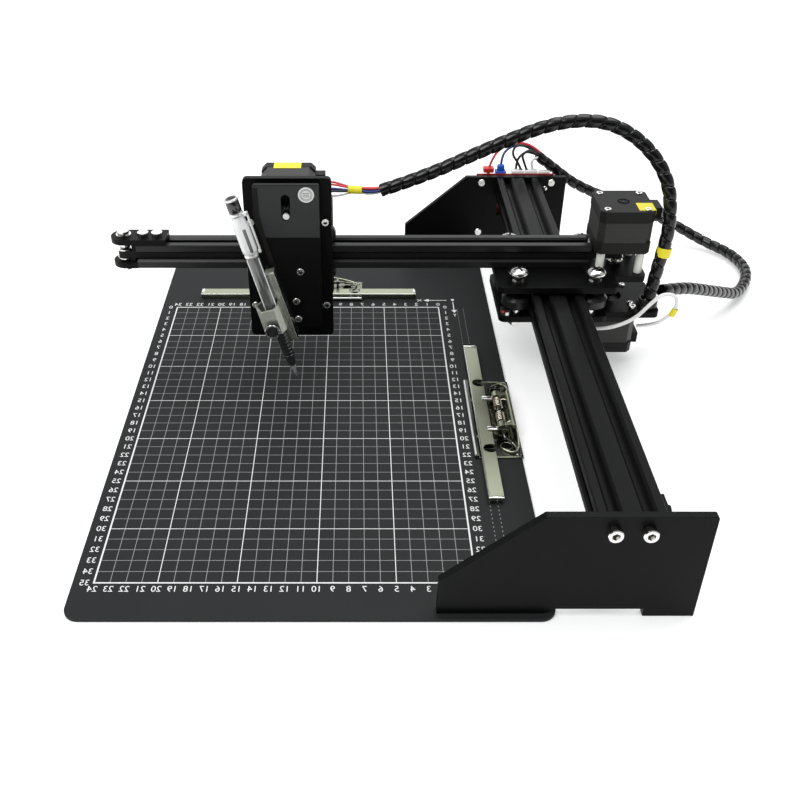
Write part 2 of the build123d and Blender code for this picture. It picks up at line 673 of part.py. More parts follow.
with BuildPart() as head_plate:
    with BuildSketch(upright(HEAD_FRONT + PLATE_THICK)):
        with Locations((HEAD_X, (HEAD_BOTTOM + HEAD_TOP) / 2)):
            RectangleRounded(2 * HEAD_HALF, HEAD_TOP - HEAD_BOTTOM, 3.5)
        drill(HEAD_CORNERS, M3_HOLE)
        drill([(Z_MOTOR_X, Z_MOTOR_Z)], MOTOR_BOSS + 0.1)
        drill(corners(Z_MOTOR_X, Z_MOTOR_Z, MOTOR_HOLES, MOTOR_HOLES), M3_HOLE)
    extrude(amount=PLATE_THICK)
    for x, z in AXLE_SPOTS:
        bar((x, HEAD_FRONT + 1, z), M5_HOLE, PLATE_THICK, mode=Mode.SUBTRACT)
write(head_plate, "head_plate")

with BuildPart() as head_rear_plate:
    with BuildSketch(upright(HEAD_BACK + PLATE_THICK)):
        with Locations((HEAD_X, 94)):
            RectangleRounded(2 * HEAD_HALF, 88, 3.5)
        with Locations((Z_MOTOR_X, 133)):
            RectangleRounded(MOTOR_SIZE + 1.6, 32, 2, mode=Mode.SUBTRACT)
        drill(HEAD_CORNERS, M3_HOLE)
        drill(AXLE_SPOTS, M5_HOLE)
    extrude(amount=PLATE_THICK)
write(head_rear_plate, "head_rear_plate")

with BuildPart() as head_spacers:
    plate_back = HEAD_FRONT + PLATE_THICK
    for x, z in HEAD_CORNERS:
        bar((x, plate_back, z), 3, HEAD_BACK - plate_back)
    wheel_front = GANTRY_Y - X_WHEEL_HALF - SIDE_GAP
    wheel_back = GANTRY_Y + X_WHEEL_HALF + SIDE_GAP
    for x, z in AXLE_SPOTS:
        bar((x, plate_back, z), 3.6, wheel_front - plate_back)
        bar((x, wheel_back, z), 3.6, HEAD_BACK - wheel_back)
        bar((x, plate_back, z), M5_HOLE, HEAD_BACK - plate_back, mode=Mode.SUBTRACT)
write(head_spacers, "head_spacers")

with BuildPart() as head_screws:
    for x, z in HEAD_CORNERS:
        bar((x, HEAD_FRONT, z), M3_SHANK, PLATE_THICK)
        bar((x, HEAD_FRONT - 2.6, z), 2.9, 2.6)
        bar((x, HEAD_FRONT - 2.7, z), 1.3, 1.7, mode=Mode.SUBTRACT)
        bar((x, HEAD_BACK, z), M3_SHANK, PLATE_THICK)
        bar((x, HEAD_BACK + PLATE_THICK, z), 2.9, 2.4)
    for x, z in AXLE_SPOTS:
        bar((x, HEAD_FRONT + 1, z), M5_SHANK, HEAD_BACK + PLATE_THICK - HEAD_FRONT - 1)
        bar((x, HEAD_BACK + PLATE_THICK, z), 4.6, 3)
    for x, z in corners(Z_MOTOR_X, Z_MOTOR_Z, MOTOR_HOLES, MOTOR_HOLES):
        bar((x, HEAD_FRONT, z), M3_SHANK, PLATE_THICK)
        bar((x, HEAD_FRONT - 1.8, z), 2.8, 1.8)
write(head_screws, "head_screws")

Z_MOTOR_PLANE = Plane((Z_MOTOR_X, HEAD_FRONT + PLATE_THICK, Z_MOTOR_Z), x_dir=(1, 0, 0), z_dir=(0, -1, 0))
with BuildPart(Z_MOTOR_PLANE) as z_motor:
    motor(connector_shift=7.5)
write(z_motor, "z_motor")

GUIDE_X = -9
with BuildPart() as guide_rail:
    block((GUIDE_X - 3.5, 26, 45), (GUIDE_X + 3.5, HEAD_FRONT, 112))
write(guide_rail, "guide_rail")

for number, (x, z) in enumerate(AXLE_SPOTS, start=1):
    wheel_plane = Plane((x, GANTRY_Y, z), x_dir=(1, 0, 0), z_dir=(0, -1, 0))
    with BuildPart(wheel_plane) as x_wheel:
        v_wheel(X_WHEEL_TIP, 2 * X_WHEEL_HALF)
    write(x_wheel, f"x_wheel_{number}")


# ---------------------------------------------------------------- lift drive
RACK_LINE = Z_MOTOR_X + PINION_RADIUS
TOOTH_PITCH = 2 * math.pi * PINION_RADIUS / PINION_TEETH
TOOTH_TOP = 0.9
TOOTH_ROOT = 1.3
TOOTH_TIP_HALF = 0.2
TOOTH_BASE_HALF = 0.8
GEAR_FRONT = 24

with BuildPart() as z_pinion:
    with BuildSketch(upright(HEAD_FRONT - 2)):
        with Locations((Z_MOTOR_X, Z_MOTOR_Z)):
            Circle(PINION_RADIUS - TOOTH_ROOT)
            with PolarLocations(0, PINION_TEETH, start_angle=180 / PINION_TEETH):
                Polygon(
                    (PINION_RADIUS - TOOTH_ROOT - 0.3, -TOOTH_BASE_HALF),
                    (PINION_RADIUS + TOOTH_TOP, -TOOTH_TIP_HALF),
                    (PINION_RADIUS + TOOTH_TOP, TOOTH_TIP_HALF),
                    (PINION_RADIUS - TOOTH_ROOT - 0.3, TOOTH_BASE_HALF),
                    align=None,
                )
    extrude(amount=HEAD_FRONT - 2 - GEAR_FRONT)
    bar((Z_MOTOR_X, LIFT_FRONT + 1.5, Z_MOTOR_Z), 2.5, HEAD_FRONT + PLATE_THICK + 10 - LIFT_FRONT - 1.5)
write(z_pinion, "z_pinion")

with BuildPart() as rack:
    with BuildSketch(upright(HEAD_FRONT - 2)):
        with Locations((RACK_LINE + TOOTH_ROOT + 3, Z_MOTOR_Z + 2)):
            Rectangle(6, 40)
        with Locations(*[(RACK_LINE, Z_MOTOR_Z + k * TOOTH_PITCH) for k in range(-5, 7)]):
            Polygon(
                (-TOOTH_TOP, -TOOTH_TIP_HALF),
                (TOOTH_ROOT + 0.1, -TOOTH_BASE_HALF),
                (TOOTH_ROOT + 0.1, TOOTH_BASE_HALF),
                (-TOOTH_TOP, TOOTH_TIP_HALF),
                align=None,
            )
    extrude(amount=HEAD_FRONT - 2 - GEAR_FRONT)
    lift_back = LIFT_FRONT + LIFT_THICK
    block((RACK_LINE + 1.5, lift_back, Z_MOTOR_Z - 18), (RACK_LINE + 7.3, GEAR_FRONT + 1, Z_MOTOR_Z + 22))
write(rack, "rack")

with BuildPart() as guide_block:
    back = LIFT_FRONT + LIFT_THICK
    block((GUIDE_X - 8.5, back, 60), (GUIDE_X + 8.5, HEAD_FRONT - 0.6, 92))
    block((GUIDE_X - 3.8, 26 - SIDE_GAP, 59), (GUIDE_X + 3.8, HEAD_FRONT, 93), mode=Mode.SUBTRACT)
write(guide_block, "guide_block")

LIFT_SLOT_LOW = 136.6
LIFT_SLOT_LENGTH = 21
LIFT_SCREWS = [(-15, 95), (-19, 69), (-17.9, 53)]
with BuildPart() as lift_plate:
    with BuildSketch(upright(LIFT_FRONT + LIFT_THICK)) as lift_outline:
        with BuildLine():
            Polyline((1, 165), (-49, 165), (-49, 140), (-36, 91), (-23, 45), (1, 45), close=True)
        make_face()
        fillet(lift_outline.vertices().group_by(Axis.Z)[-1], 2)
        with Locations((Z_MOTOR_X, LIFT_SLOT_LOW + LIFT_SLOT_LENGTH / 2)):
            SlotOverall(LIFT_SLOT_LENGTH, 6.7, rotation=90, mode=Mode.SUBTRACT)
        drill(LIFT_SCREWS, M3_HOLE)
    extrude(amount=LIFT_THICK)
write(lift_plate, "lift_plate")

with BuildPart() as lift_screws:
    for x, z in LIFT_SCREWS:
        bar((x, LIFT_FRONT, z), M3_SHANK, LIFT_THICK)
        bar((x, LIFT_FRONT - 2.4, z), 2.9, 2.4)
        bar((x, LIFT_FRONT - 2.5, z), 1.3, 1.6, mode=Mode.SUBTRACT)
write(lift_screws, "lift_screws")


# ---------------------------------------------------------------- pen and its holder
PEN_AXIS = (Vector(*PEN_TOP) - Vector(*PEN_TIP)).normalized()
PEN_PLANE = Plane(PEN_TIP, x_dir=Vector(0, 1, 0).cross(PEN_AXIS), z_dir=PEN_AXIS)
PEN_BODY_RADIUS = 4.8
CLAMP_LOW = 46
CLAMP_HIGH = 68
SCREW_ALONG = 53
SCREW_ACROSS = -2
CHANNEL_ACROSS = (2.7, 10.2)
CHANNEL_ALONG = (30, 91)
CHANNEL_BACK = 4.2
CHANNEL_WALL = 1.4
CAP_LOW = 108
CAP_HIGH = 145

with BuildPart(PEN_PLANE) as pen_channel:
    low_corner = CHANNEL_ACROSS[0], CHANNEL_BACK, CHANNEL_ALONG[0]
    block(low_corner, (CHANNEL_ACROSS[1], CHANNEL_BACK + CHANNEL_WALL, CHANNEL_ALONG[1]))
    for wall in (CHANNEL_ACROSS[0], CHANNEL_ACROSS[1] - CHANNEL_WALL):
        block((wall, CHANNEL_BACK, CHANNEL_ALONG[0]), (wall + CHANNEL_WALL, LIFT_FRONT, CHANNEL_ALONG[1]))
write(pen_channel, "pen_channel")

with BuildPart(PEN_PLANE) as pen_clamp:
    with BuildSketch(PEN_PLANE.offset(CLAMP_LOW)):
        with BuildLine():
            strap_end = CHANNEL_ACROSS[0], 9
            Polyline(strap_end, (-7, 9), (-12, 3.5), (-6.5, -9.3), (3, -9.3), (6.2, -4), (6.2, 3.4))
        trace(line_width=1.3)
    extrude(amount=CLAMP_HIGH - CLAMP_LOW)
    with Locations((SCREW_ACROSS, -9.3, SCREW_ALONG)):
        Cylinder(2.3, 4, rotation=(90, 0, 0), mode=Mode.SUBTRACT)
write(pen_clamp, "pen_clamp")

with BuildPart(PEN_PLANE) as pen:
    Cone(0.35, 1.1, 3, align=(Align.CENTER, Align.CENTER, Align.MIN))
    with Locations((0, 0, 3)):
        Cone(1.2, 4.1, 14, align=(Align.CENTER, Align.CENTER, Align.MIN))
    post((0, 0, 17), 4.5, 36)
    post((0, 0, 53), PEN_BODY_RADIUS, 52)
    post((0, 0, CAP_LOW - 3), 5.6, 3)
    post((0, 0, CAP_LOW), 6, CAP_HIGH - CAP_LOW)
    post((0, 0, CAP_HIGH), 4.6, 3)
    post((0, 0, CAP_HIGH + 3), 5.2, PEN_LENGTH - CAP_HIGH - 3)
    block((5, -1.8, CAP_LOW - 1), (8.2, 1.8, CAP_LOW + 2))
    block((7.2, -1.8, CAP_LOW - 1), (8.2, 1.8, CAP_HIGH + 1))
    block((4, -1.8, CAP_HIGH - 2), (8.2, 1.8, CAP_HIGH + 1))
write(pen, "pen")

with BuildPart(PEN_PLANE) as thumbscrew:
    with Locations((SCREW_ACROSS, -5.3, SCREW_ALONG)):
        Cylinder(1.9, 6, rotation=(90, 0, 0), align=(Align.CENTER, Align.CENTER, Align.MIN))
    with Locations((SCREW_ACROSS, -10.4, SCREW_ALONG)):
        Cylinder(3.4, 1.6, rotation=(90, 0, 0), align=(Align.CENTER, Align.CENTER, Align.MIN))
    with Locations((SCREW_ACROSS, -11.5, SCREW_ALONG)):
        Cylinder(6, 5, rotation=(90, 0, 0), align=(Align.CENTER, Align.CENTER, Align.MIN))
write(thumbscrew, "thumbscrew")


# ---------------------------------------------------------------- cables
HEAD_HARNESS = [
    (47.5, 62, 143),
    (78, 61, 153.5),
    (130, 60, 178.5),
    (175, 58, 198.5),
    (213, 55, 202),
    (244, 50, 187),
    (266, 42, 160),
    (271, 34.5, 125),
    (266, 32, 90),
    (263, 30, 60.5),
]
GANTRY_HARNESS = [
    (276, 40, 66),
    (300, 60, 58),
    (326, 84, 43),
    (356, 114, 24),
    (384, 142, 7),
    (408, 186, 6.5),
    (404, 226, 6.5),
    (382, 252, 8),
    (352, 264, 22),
    (312, 266, 42),
    (270, 266, 60),
    (240, 266, 75),
    (222, 265, 87),
    (206, 264, 96),
]
SWITCH_LEAD = [
    (213, 22, 42),
    (226, 17.5, 43),
    (240, 17, 47),
    (252, 16.5, 54.5),
    (262, 16, 66),
    (273, 16.5, 76),
    (286, 17, 74),
    (289, 18, 61),
    (280, 21, 50),
    (268, 24, 43),
    (256, 26, 41),
]

with BuildPart() as head_harness:
    wanted = cord_tube("head_harness", HEAD_HARNESS, HARNESS_DIAMETER)
print("head_harness volume", round(head_harness.part.volume), "section times length", round(wanted))
write(head_harness, "head_harness")

with BuildPart() as gantry_harness:
    wanted = cord_tube("gantry_harness", GANTRY_HARNESS, HARNESS_DIAMETER)
print("gantry_harness volume", round(gantry_harness.part.volume), "section times length", round(wanted))
write(gantry_harness, "gantry_harness")

with BuildPart() as switch_lead:
    wanted = cord_tube("switch_lead", SWITCH_LEAD, LEAD_DIAMETER)
print("switch_lead volume", round(switch_lead.part.volume), "section times length", round(wanted))
write(switch_lead, "switch_lead")
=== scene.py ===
import json
import math

import bmesh
import bpy
from mathutils import Matrix, Vector


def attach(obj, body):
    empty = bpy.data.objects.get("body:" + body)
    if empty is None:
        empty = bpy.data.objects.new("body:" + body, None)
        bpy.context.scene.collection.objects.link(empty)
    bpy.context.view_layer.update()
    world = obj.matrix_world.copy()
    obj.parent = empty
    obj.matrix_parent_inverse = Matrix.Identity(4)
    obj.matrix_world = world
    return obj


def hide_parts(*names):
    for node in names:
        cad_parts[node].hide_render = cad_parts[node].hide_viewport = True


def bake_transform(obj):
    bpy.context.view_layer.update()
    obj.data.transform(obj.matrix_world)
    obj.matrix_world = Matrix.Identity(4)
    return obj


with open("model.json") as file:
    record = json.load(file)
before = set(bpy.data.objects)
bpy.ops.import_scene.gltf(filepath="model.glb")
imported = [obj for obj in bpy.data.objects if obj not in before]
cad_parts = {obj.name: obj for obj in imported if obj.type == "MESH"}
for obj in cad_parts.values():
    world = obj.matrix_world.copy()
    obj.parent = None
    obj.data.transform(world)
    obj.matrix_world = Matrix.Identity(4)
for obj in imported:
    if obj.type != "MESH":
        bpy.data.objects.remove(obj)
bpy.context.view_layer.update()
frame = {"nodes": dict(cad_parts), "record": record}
NODES = frame["nodes"]
MM = 0.001
scene = bpy.context.scene


def mm(*values):
    """A point given in millimetres, as a vector in metres."""
    return Vector(values) * MM


# ---------------------------------------------------------------- camera
CAMERA_TILT = 34.87
camera_data = bpy.data.cameras.new("camera")
camera_data.lens = 44.23
camera_data.sensor_width = 36
camera_data.shift_x = 0.0534
camera_data.clip_start = 0.01
camera = bpy.data.objects.new("camera", camera_data)
camera.location = mm(29, -665, 449)
camera.rotation_euler = (math.radians(90 - CAMERA_TILT), 0, 0)
scene.collection.objects.link(camera)
scene.camera = camera


# ---------------------------------------------------------------- materials
def add_node(tree, kind, **values):
    """A shader node with the given properties."""
    node = tree.nodes.new(kind)
    for name, value in values.items():
        setattr(node, name, value)
    return node


def new_material(name):
    made = bpy.data.materials.new(name)
    made.use_nodes = True
    return made, made.node_tree, made.node_tree.nodes["Principled BSDF"]


def stretched_noise(tree, scale, stretch, detail=3.0):
    """Noise in the object's own frame, drawn out along an axis by a stretch below 1."""
    coordinates = add_node(tree, "ShaderNodeTexCoord")
    mapping = add_node(tree, "ShaderNodeMapping")
    mapping.inputs["Scale"].default_value = stretch
    noise = add_node(tree, "ShaderNodeTexNoise")
    noise.inputs["Scale"].default_value = scale
    noise.inputs["Detail"].default_value = detail
    tree.links.new(coordinates.outputs["Object"], mapping.inputs["Vector"])
    tree.links.new(mapping.outputs["Vector"], noise.inputs["Vector"])
    return noise


def varied(
    name,
    dark,
    light,
    rough,
    metal=0.0,
    scale=60,
    stretch=(1, 1, 1),
    grain=2500,
    bump=0.00002,
    edge=0.0,
    coat=0.0,
    clear=0.0,
    shine=0.5,
):
    """A surface whose colour and roughness wander between two values, with a fine grain."""
    made, tree, shader = new_material(name)
    broad = stretched_noise(tree, scale, stretch)
    colour = add_node(tree, "ShaderNodeMix", data_type="RGBA")
    colour.inputs["A"].default_value = (*dark, 1)
    colour.inputs["B"].default_value = (*light, 1)
    tree.links.new(broad.outputs["Fac"], colour.inputs["Factor"])
    tree.links.new(colour.outputs["Result"], shader.inputs["Base Color"])
    spread = add_node(tree, "ShaderNodeMapRange")
    spread.inputs["To Min"].default_value = rough[0]
    spread.inputs["To Max"].default_value = rough[1]
    tree.links.new(broad.outputs["Fac"], spread.inputs["Value"])
    tree.links.new(spread.outputs["Result"], shader.inputs["Roughness"])
    fine = stretched_noise(tree, grain, stretch, 2.0)
    height = add_node(tree, "ShaderNodeBump")
    height.inputs["Strength"].default_value = 0.6
    height.inputs["Distance"].default_value = bump
    tree.links.new(fine.outputs["Fac"], height.inputs["Height"])
    tree.links.new(height.outputs["Normal"], shader.inputs["Normal"])
    if edge:
        soft = add_node(tree, "ShaderNodeBevel", samples=4)
        soft.inputs["Radius"].default_value = edge
        tree.links.new(soft.outputs["Normal"], height.inputs["Normal"])
    shader.inputs["Metallic"].default_value = metal
    shader.inputs["Coat Weight"].default_value = coat
    shader.inputs["Coat Roughness"].default_value = 0.08
    shader.inputs["Specular IOR Level"].default_value = shine
    shader.inputs["Transmission Weight"].default_value = clear
    return made


MAT_VINYL = varied(
    "mat_vinyl", (0.017, 0.0188, 0.0188), (0.024, 0.0262, 0.0262), (0.46, 0.58),
    scale=14, grain=1800, shine=0.1,
)
PRINT_WHITE = varied("print_white", (0.62, 0.64, 0.63), (0.8, 0.81, 0.8), (0.45, 0.6), scale=300)
PRINT_GREY = varied("print_grey", (0.26, 0.27, 0.27), (0.36, 0.37, 0.37), (0.45, 0.6), scale=300)
PLATE_BLACK = varied(
    "plate_black", (0.0022, 0.0024, 0.0023), (0.004, 0.0043, 0.004), (0.32, 0.42),
    grain=1600, bump=0.00003, edge=0.0006, shine=0.09,
)
# A lighter grey that paints a reflection on the upper face of the black lift plate.
PLATE_PAINTED_REFLECTION = varied(
    "plate_painted_reflection", (0.024, 0.025, 0.025), (0.03, 0.031, 0.031), (0.36, 0.44),
    grain=1600, bump=0.00003, edge=0.0005, shine=0.3,
)
PLATE_BROWN = varied(
    "plate_brown", (0.007, 0.006, 0.0055), (0.011, 0.0095, 0.0085), (0.4, 0.5),
    grain=1600, shine=0.2,
)
PROFILE_X = varied(
    "profile_x", (0.005, 0.005, 0.0053), (0.009, 0.009, 0.0094), (0.26, 0.36),
    scale=90, stretch=(0.04, 1, 1), grain=2200, edge=0.0003, shine=0.3,
)
PROFILE_Y = varied(
    "profile_y", (0.004, 0.004, 0.004), (0.007, 0.0072, 0.0068), (0.28, 0.38),
    scale=90, stretch=(1, 0.04, 1), grain=2200, edge=0.0003, shine=0.08,
)
CHROME = varied(
    "chrome", (0.72, 0.71, 0.68), (0.86, 0.85, 0.83), (0.1, 0.22),
    metal=1.0, scale=400, grain=3000, bump=0.00001,
)
NICKEL = varied(
    "clip_nickel", (0.16, 0.165, 0.14), (0.24, 0.245, 0.21), (0.12, 0.22),
    metal=1.0, scale=30, grain=900, bump=0.000002, edge=0.0004,
)
NICKEL_PALE = varied(
    "jaw_nickel", (0.38, 0.4, 0.29), (0.47, 0.49, 0.37), (0.24, 0.34),
    metal=1.0, scale=30, grain=900, bump=0.000003, edge=0.0004,
)
BRASSY = varied("spring_wire", (0.55, 0.48, 0.36), (0.78, 0.74, 0.66), (0.14, 0.26), metal=1.0, scale=260)
SILVER = varied(
    "holder_silver", (0.56, 0.58, 0.5), (0.76, 0.78, 0.68), (0.32, 0.46),
    metal=0.85, scale=120, stretch=(1, 1, 0.1), grain=2600, edge=0.0004,
)
CHANNEL_STEEL = varied(
    "channel_steel", (0.6, 0.62, 0.54), (0.76, 0.78, 0.68), (0.2, 0.3),
    metal=1.0, scale=120, stretch=(1, 1, 0.1), grain=2600, bump=0.000004, edge=0.0005,
)
SATIN = varied("satin_steel", (0.78, 0.78, 0.76), (0.92, 0.92, 0.9), (0.3, 0.42), metal=0.8, scale=400)
RUBBER = varied(
    "belt_rubber", (0.006, 0.006, 0.006), (0.011, 0.0105, 0.01), (0.65, 0.85),
    grain=1500, bump=0.00008, shine=0.25,
)
MOTOR = varied(
    "motor_black", (0.008, 0.008, 0.0075), (0.013, 0.013, 0.012), (0.36, 0.48),
    scale=40, grain=1700, bump=0.00004, edge=0.0008, shine=0.12,
)
STACK = varied(
    "motor_stack", (0.012, 0.012, 0.012), (0.03, 0.029, 0.027), (0.34, 0.5),
    metal=0.3, shine=0.4, scale=900, stretch=(0.02, 0.02, 1), grain=1400, bump=0.00004,
)
WHEEL = varied(
    "wheel_black", (0.006, 0.006, 0.0065), (0.011, 0.011, 0.011), (0.24, 0.36),
    grain=1900, edge=0.0003, shine=0.35,
)
NYLON = varied("nylon_white", (0.74, 0.77, 0.68), (0.84, 0.86, 0.79), (0.3, 0.42), grain=1500)
BOARD_RED = varied(
    "board_red", (0.22, 0.012, 0.012), (0.34, 0.03, 0.024), (0.24, 0.36),
    scale=220, grain=900, bump=0.00004,
)
PLASTIC_RED = varied("plastic_red", (0.5, 0.02, 0.02), (0.62, 0.04, 0.03), (0.28, 0.4), grain=1500)
PLASTIC_BLUE = varied("plastic_blue", (0.01, 0.07, 0.42), (0.02, 0.11, 0.55), (0.28, 0.4), grain=1500)
PLASTIC_WHITE = varied("plastic_white", (0.8, 0.8, 0.77), (0.88, 0.88, 0.86), (0.3, 0.42), grain=1500)
PLASTIC_BLACK = varied(
    "plastic_black", (0.007, 0.007, 0.007), (0.012, 0.012, 0.012), (0.3, 0.45),
    grain=1500, shine=0.35,
)
SLEEVE = varied(
    "sleeve_black", (0.003, 0.003, 0.0035), (0.008, 0.008, 0.008), (0.16, 0.26),
    coat=0.16, scale=160, grain=1200, shine=0.3,
)
WIRE_RED = varied("wire_red", (0.55, 0.03, 0.05), (0.66, 0.06, 0.07), (0.3, 0.4))
WIRE_BLUE = varied("wire_blue", (0.015, 0.03, 0.16), (0.02, 0.05, 0.26), (0.3, 0.4))
WIRE_BLACK = varied("wire_black", (0.012, 0.012, 0.014), (0.02, 0.02, 0.022), (0.24, 0.36))
WIRE_WHITE = varied("wire_white", (0.78, 0.78, 0.76), (0.88, 0.88, 0.86), (0.3, 0.4))
LABEL = varied("label_yellow", (0.78, 0.66, 0.012), (0.88, 0.78, 0.03), (0.4, 0.52), scale=120)
STICKER = varied("sticker_white", (0.74, 0.74, 0.72), (0.84, 0.84, 0.82), (0.4, 0.5), scale=200)
# Near-black for painted shade in holes, recesses and vents, and for the dark card seen only in reflections.
SHADE_AND_CARD_BLACK = varied("shade_and_card_black", (0.001, 0.001, 0.001), (0.002, 0.002, 0.002), (0.7, 0.9), shine=0.1)
PEN_WHITE = varied("pen_white", (0.78, 0.79, 0.78), (0.88, 0.88, 0.87), (0.12, 0.2), coat=0.4)
PEN_SMOKE = varied(
    "pen_smoke", (0.02, 0.022, 0.02), (0.17, 0.175, 0.165), (0.06, 0.12),
    coat=0.8, scale=420, stretch=(1, 1, 0.03),
)
PEN_GRIP = varied("pen_grip", (0.01, 0.01, 0.011), (0.02, 0.02, 0.02), (0.1, 0.2), coat=0.6)

SLOT_FINISH = {
    "black_plate": PLATE_BLACK,
    "black_profile": PROFILE_Y,
    "bright_steel": CHROME,
    "clip_nickel": NICKEL,
    "holder_silver": SILVER,
    "belt_rubber": RUBBER,
    "motor_black": MOTOR,
    "wheel_black": WHEEL,
    "nylon_white": NYLON,
    "mat_print": MAT_VINYL,
    "board_red": BOARD_RED,
    "board_plastic": PLASTIC_BLACK,
    "sleeve_black": SLEEVE,
    "lead_white": WIRE_WHITE,
    "pen_plastic": PEN_WHITE,
}


def dress(node, material):
    """Gives a carried-over CAD node its finish."""
    data = NODES[node].data
    data.materials.clear()
    data.materials.append(material)


for row in frame["record"]["subparts"]:
    dress(row["node"], SLOT_FINISH[row["material_slot"]])
dress("x_arm", PROFILE_X)
dress("pen_channel", CHANNEL_STEEL)
dress("side_clip_jaw", NICKEL_PALE)
dress("far_clip_jaw", NICKEL_PALE)


# ---------------------------------------------------------------- mesh makers
SHARP_ANGLE = math.radians(35)


def link_mesh(name, data, material, body=None):
    """An object from a mesh, with its finish, material slot and body."""
    made = bpy.data.objects.new(name, data)
    if not data.materials:
        data.materials.append(material)
    scene.collection.objects.link(made)
    if body:
        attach(made, body)
    return made


def from_bmesh(bm, smooth=True):
    """A mesh from a bmesh, smooth except over sharp angles."""
    bmesh.ops.recalc_face_normals(bm, faces=bm.faces)
    data = bpy.data.meshes.new("part")
    bm.to_mesh(data)
    bm.free()
    if smooth:
        data.shade_smooth()
        data.set_sharp_from_angle(angle=SHARP_ANGLE)
    return data


def turned(profile, steps=40):
    """A closed turned shape about +Z from (radius, height) pairs in millimetres."""
    bm = bmesh.new()
    rings = []
    for radius, height in profile:
        if radius <= 0:
            rings.append([bm.verts.new(mm(0, 0, height))])
            continue
        ring = []
        for k in range(steps):
            turn = 2 * math.pi * k / steps
            ring.append(bm.verts.new(mm(radius * math.cos(turn), radius * math.sin(turn), height)))
        rings.append(ring)
    for low, high in zip(rings, rings[1:]):
        for k in range(steps):
            after = (k + 1) % steps
            face = [low[k % len(low)], low[after % len(low)], high[after % len(high)], high[k % len(high)]]
            kept = list(dict.fromkeys(face))
            if len(kept) > 2:
                bm.faces.new(kept)
    return from_bmesh(bm)


def rounded_block(low, high, radius=0.5, segments=3):
    """A box between two corners in millimetres, with its edges rounded."""
    bm = bmesh.new()
    bmesh.ops.create_cube(bm, size=1)
    size = [(b - a) * MM for a, b in zip(low, high)]
    centre = mm(*[(a + b) / 2 for a, b in zip(low, high)])
    bmesh.ops.scale(bm, vec=size, verts=bm.verts)
    bmesh.ops.translate(bm, vec=centre, verts=bm.verts)
    bmesh.ops.bevel(bm, geom=bm.edges[:], offset=radius * MM, segments=segments, profile=0.5, affect="EDGES")
    return from_bmesh(bm)


def prism(sides, radius, low, high):
    """A regular prism about +Z in millimetres."""
    bm = bmesh.new()
    bmesh.ops.create_cone(
        bm, cap_ends=True, segments=sides, radius1=radius * MM, radius2=radius * MM, depth=(high - low) * MM
    )
    bmesh.ops.translate(bm, vec=mm(0, 0, (low + high) / 2), verts=bm.verts)
    return from_bmesh(bm)


def flat_shape(outline, thick):
    """A flat plate on z=0 with the given outline in millimetres."""
    bm = bmesh.new()
    base = [bm.verts.new(mm(x, y, 0)) for x, y in outline]
    face = bm.faces.new(base)
    raised = bmesh.ops.extrude_face_region(bm, geom=[face])
    lifted = [g for g in raised["geom"] if isinstance(g, bmesh.types.BMVert)]
    bmesh.ops.translate(bm, vec=mm(0, 0, thick), verts=lifted)
    return from_bmesh(bm, smooth=False)


def evaluated(made):
    """The finished mesh of an object with modifiers or a curve, and the object is removed."""
    bpy.context.view_layer.update()
    data = bpy.data.meshes.new_from_object(made.evaluated_get(bpy.context.evaluated_depsgraph_get()))
    bpy.data.objects.remove(made)
    return data


def cut_by(data, tool):
    """A mesh with another mesh taken out of it."""
    body = link_mesh("cut_body", data, CHROME)
    knife = link_mesh("cut_tool", tool, CHROME)
    step = body.modifiers.new("cut", "BOOLEAN")
    step.object = knife
    step.solver = "EXACT"
    made = evaluated(body)
    bpy.data.objects.remove(knife)
    made.set_sharp_from_angle(angle=SHARP_ANGLE)
    return made


def joined(parts):
    """One mesh from (mesh, matrix) pairs."""
    bm = bmesh.new()
    for data, matrix in parts:
        before = len(bm.verts)
        bm.from_mesh(data)
        bm.verts.ensure_lookup_table()
        moved = bm.verts[before:]
        bmesh.ops.transform(bm, matrix=matrix, verts=moved)
    return from_bmesh(bm)


def piece(name, body, material, parts):
    """Joins (mesh, matrix) pairs into one piece that rides on a body."""
    return link_mesh(name, joined(parts), material, body)


def standing(x, y, z, scale=1.0, turn=0.0):
    """A matrix that puts a +Z shape at a place in millimetres."""
    return Matrix.Translation(mm(x, y, z)) @ Matrix.Rotation(turn, 4, "Z") @ Matrix.Scale(scale, 4)


def facing(x, y, z, direction, scale=1.0, turn=0.0):
    """A matrix that turns +Z of a shape to a direction and puts it at a place in millimetres."""
    aim = Vector(direction).to_track_quat("Z", "Y").to_matrix().to_4x4()
    return Matrix.Translation(mm(x, y, z)) @ aim @ Matrix.Rotation(turn, 4, "Z") @ Matrix.Scale(scale, 4)


FRONT = (0, -1, 0)
REAR = (0, 1, 0)
DOWN = (0, 0, -1)
UP = (0, 0, 1)
HERE = Matrix.Identity(4)

socket_blank = turned([(0, 0), (0.94, 0), (1, 0.08), (1, 1.0), (0.9, 1.12), (0, 1.12)], 36)
SOCKET_HEAD = cut_by(socket_blank, prism(6, 0.56, 0.4, 2))
button_blank = turned([(0, 0), (1, 0), (1, 0.16), (0.93, 0.42), (0.76, 0.6), (0.5, 0.7), (0, 0.72)], 36)
BUTTON_HEAD = cut_by(button_blank, prism(6, 0.42, 0.2, 2))
dome_profile = [
    (0, 0), (0.94, 0), (1, 0.05), (1, 0.15), (0.94, 0.27), (0.8, 0.4), (0.6, 0.5), (0.35, 0.56), (0, 0.58)
]
cross_blade = rounded_block((-0.62, -0.11, 0.3), (0.62, 0.11, 2), 0.04, 1)
cross_other = rounded_block((-0.11, -0.62, 0.3), (0.11, 0.62, 2), 0.04, 1)
PHILLIPS_HEAD = cut_by(cut_by(turned(dome_profile, 48), cross_blade), cross_other)
HEX_NUT = turned([(0.55, 0), (0.92, 0), (1, 0.08), (1, 0.8), (0.92, 0.88), (0.55, 0.88), (0.55, 0)], 6)


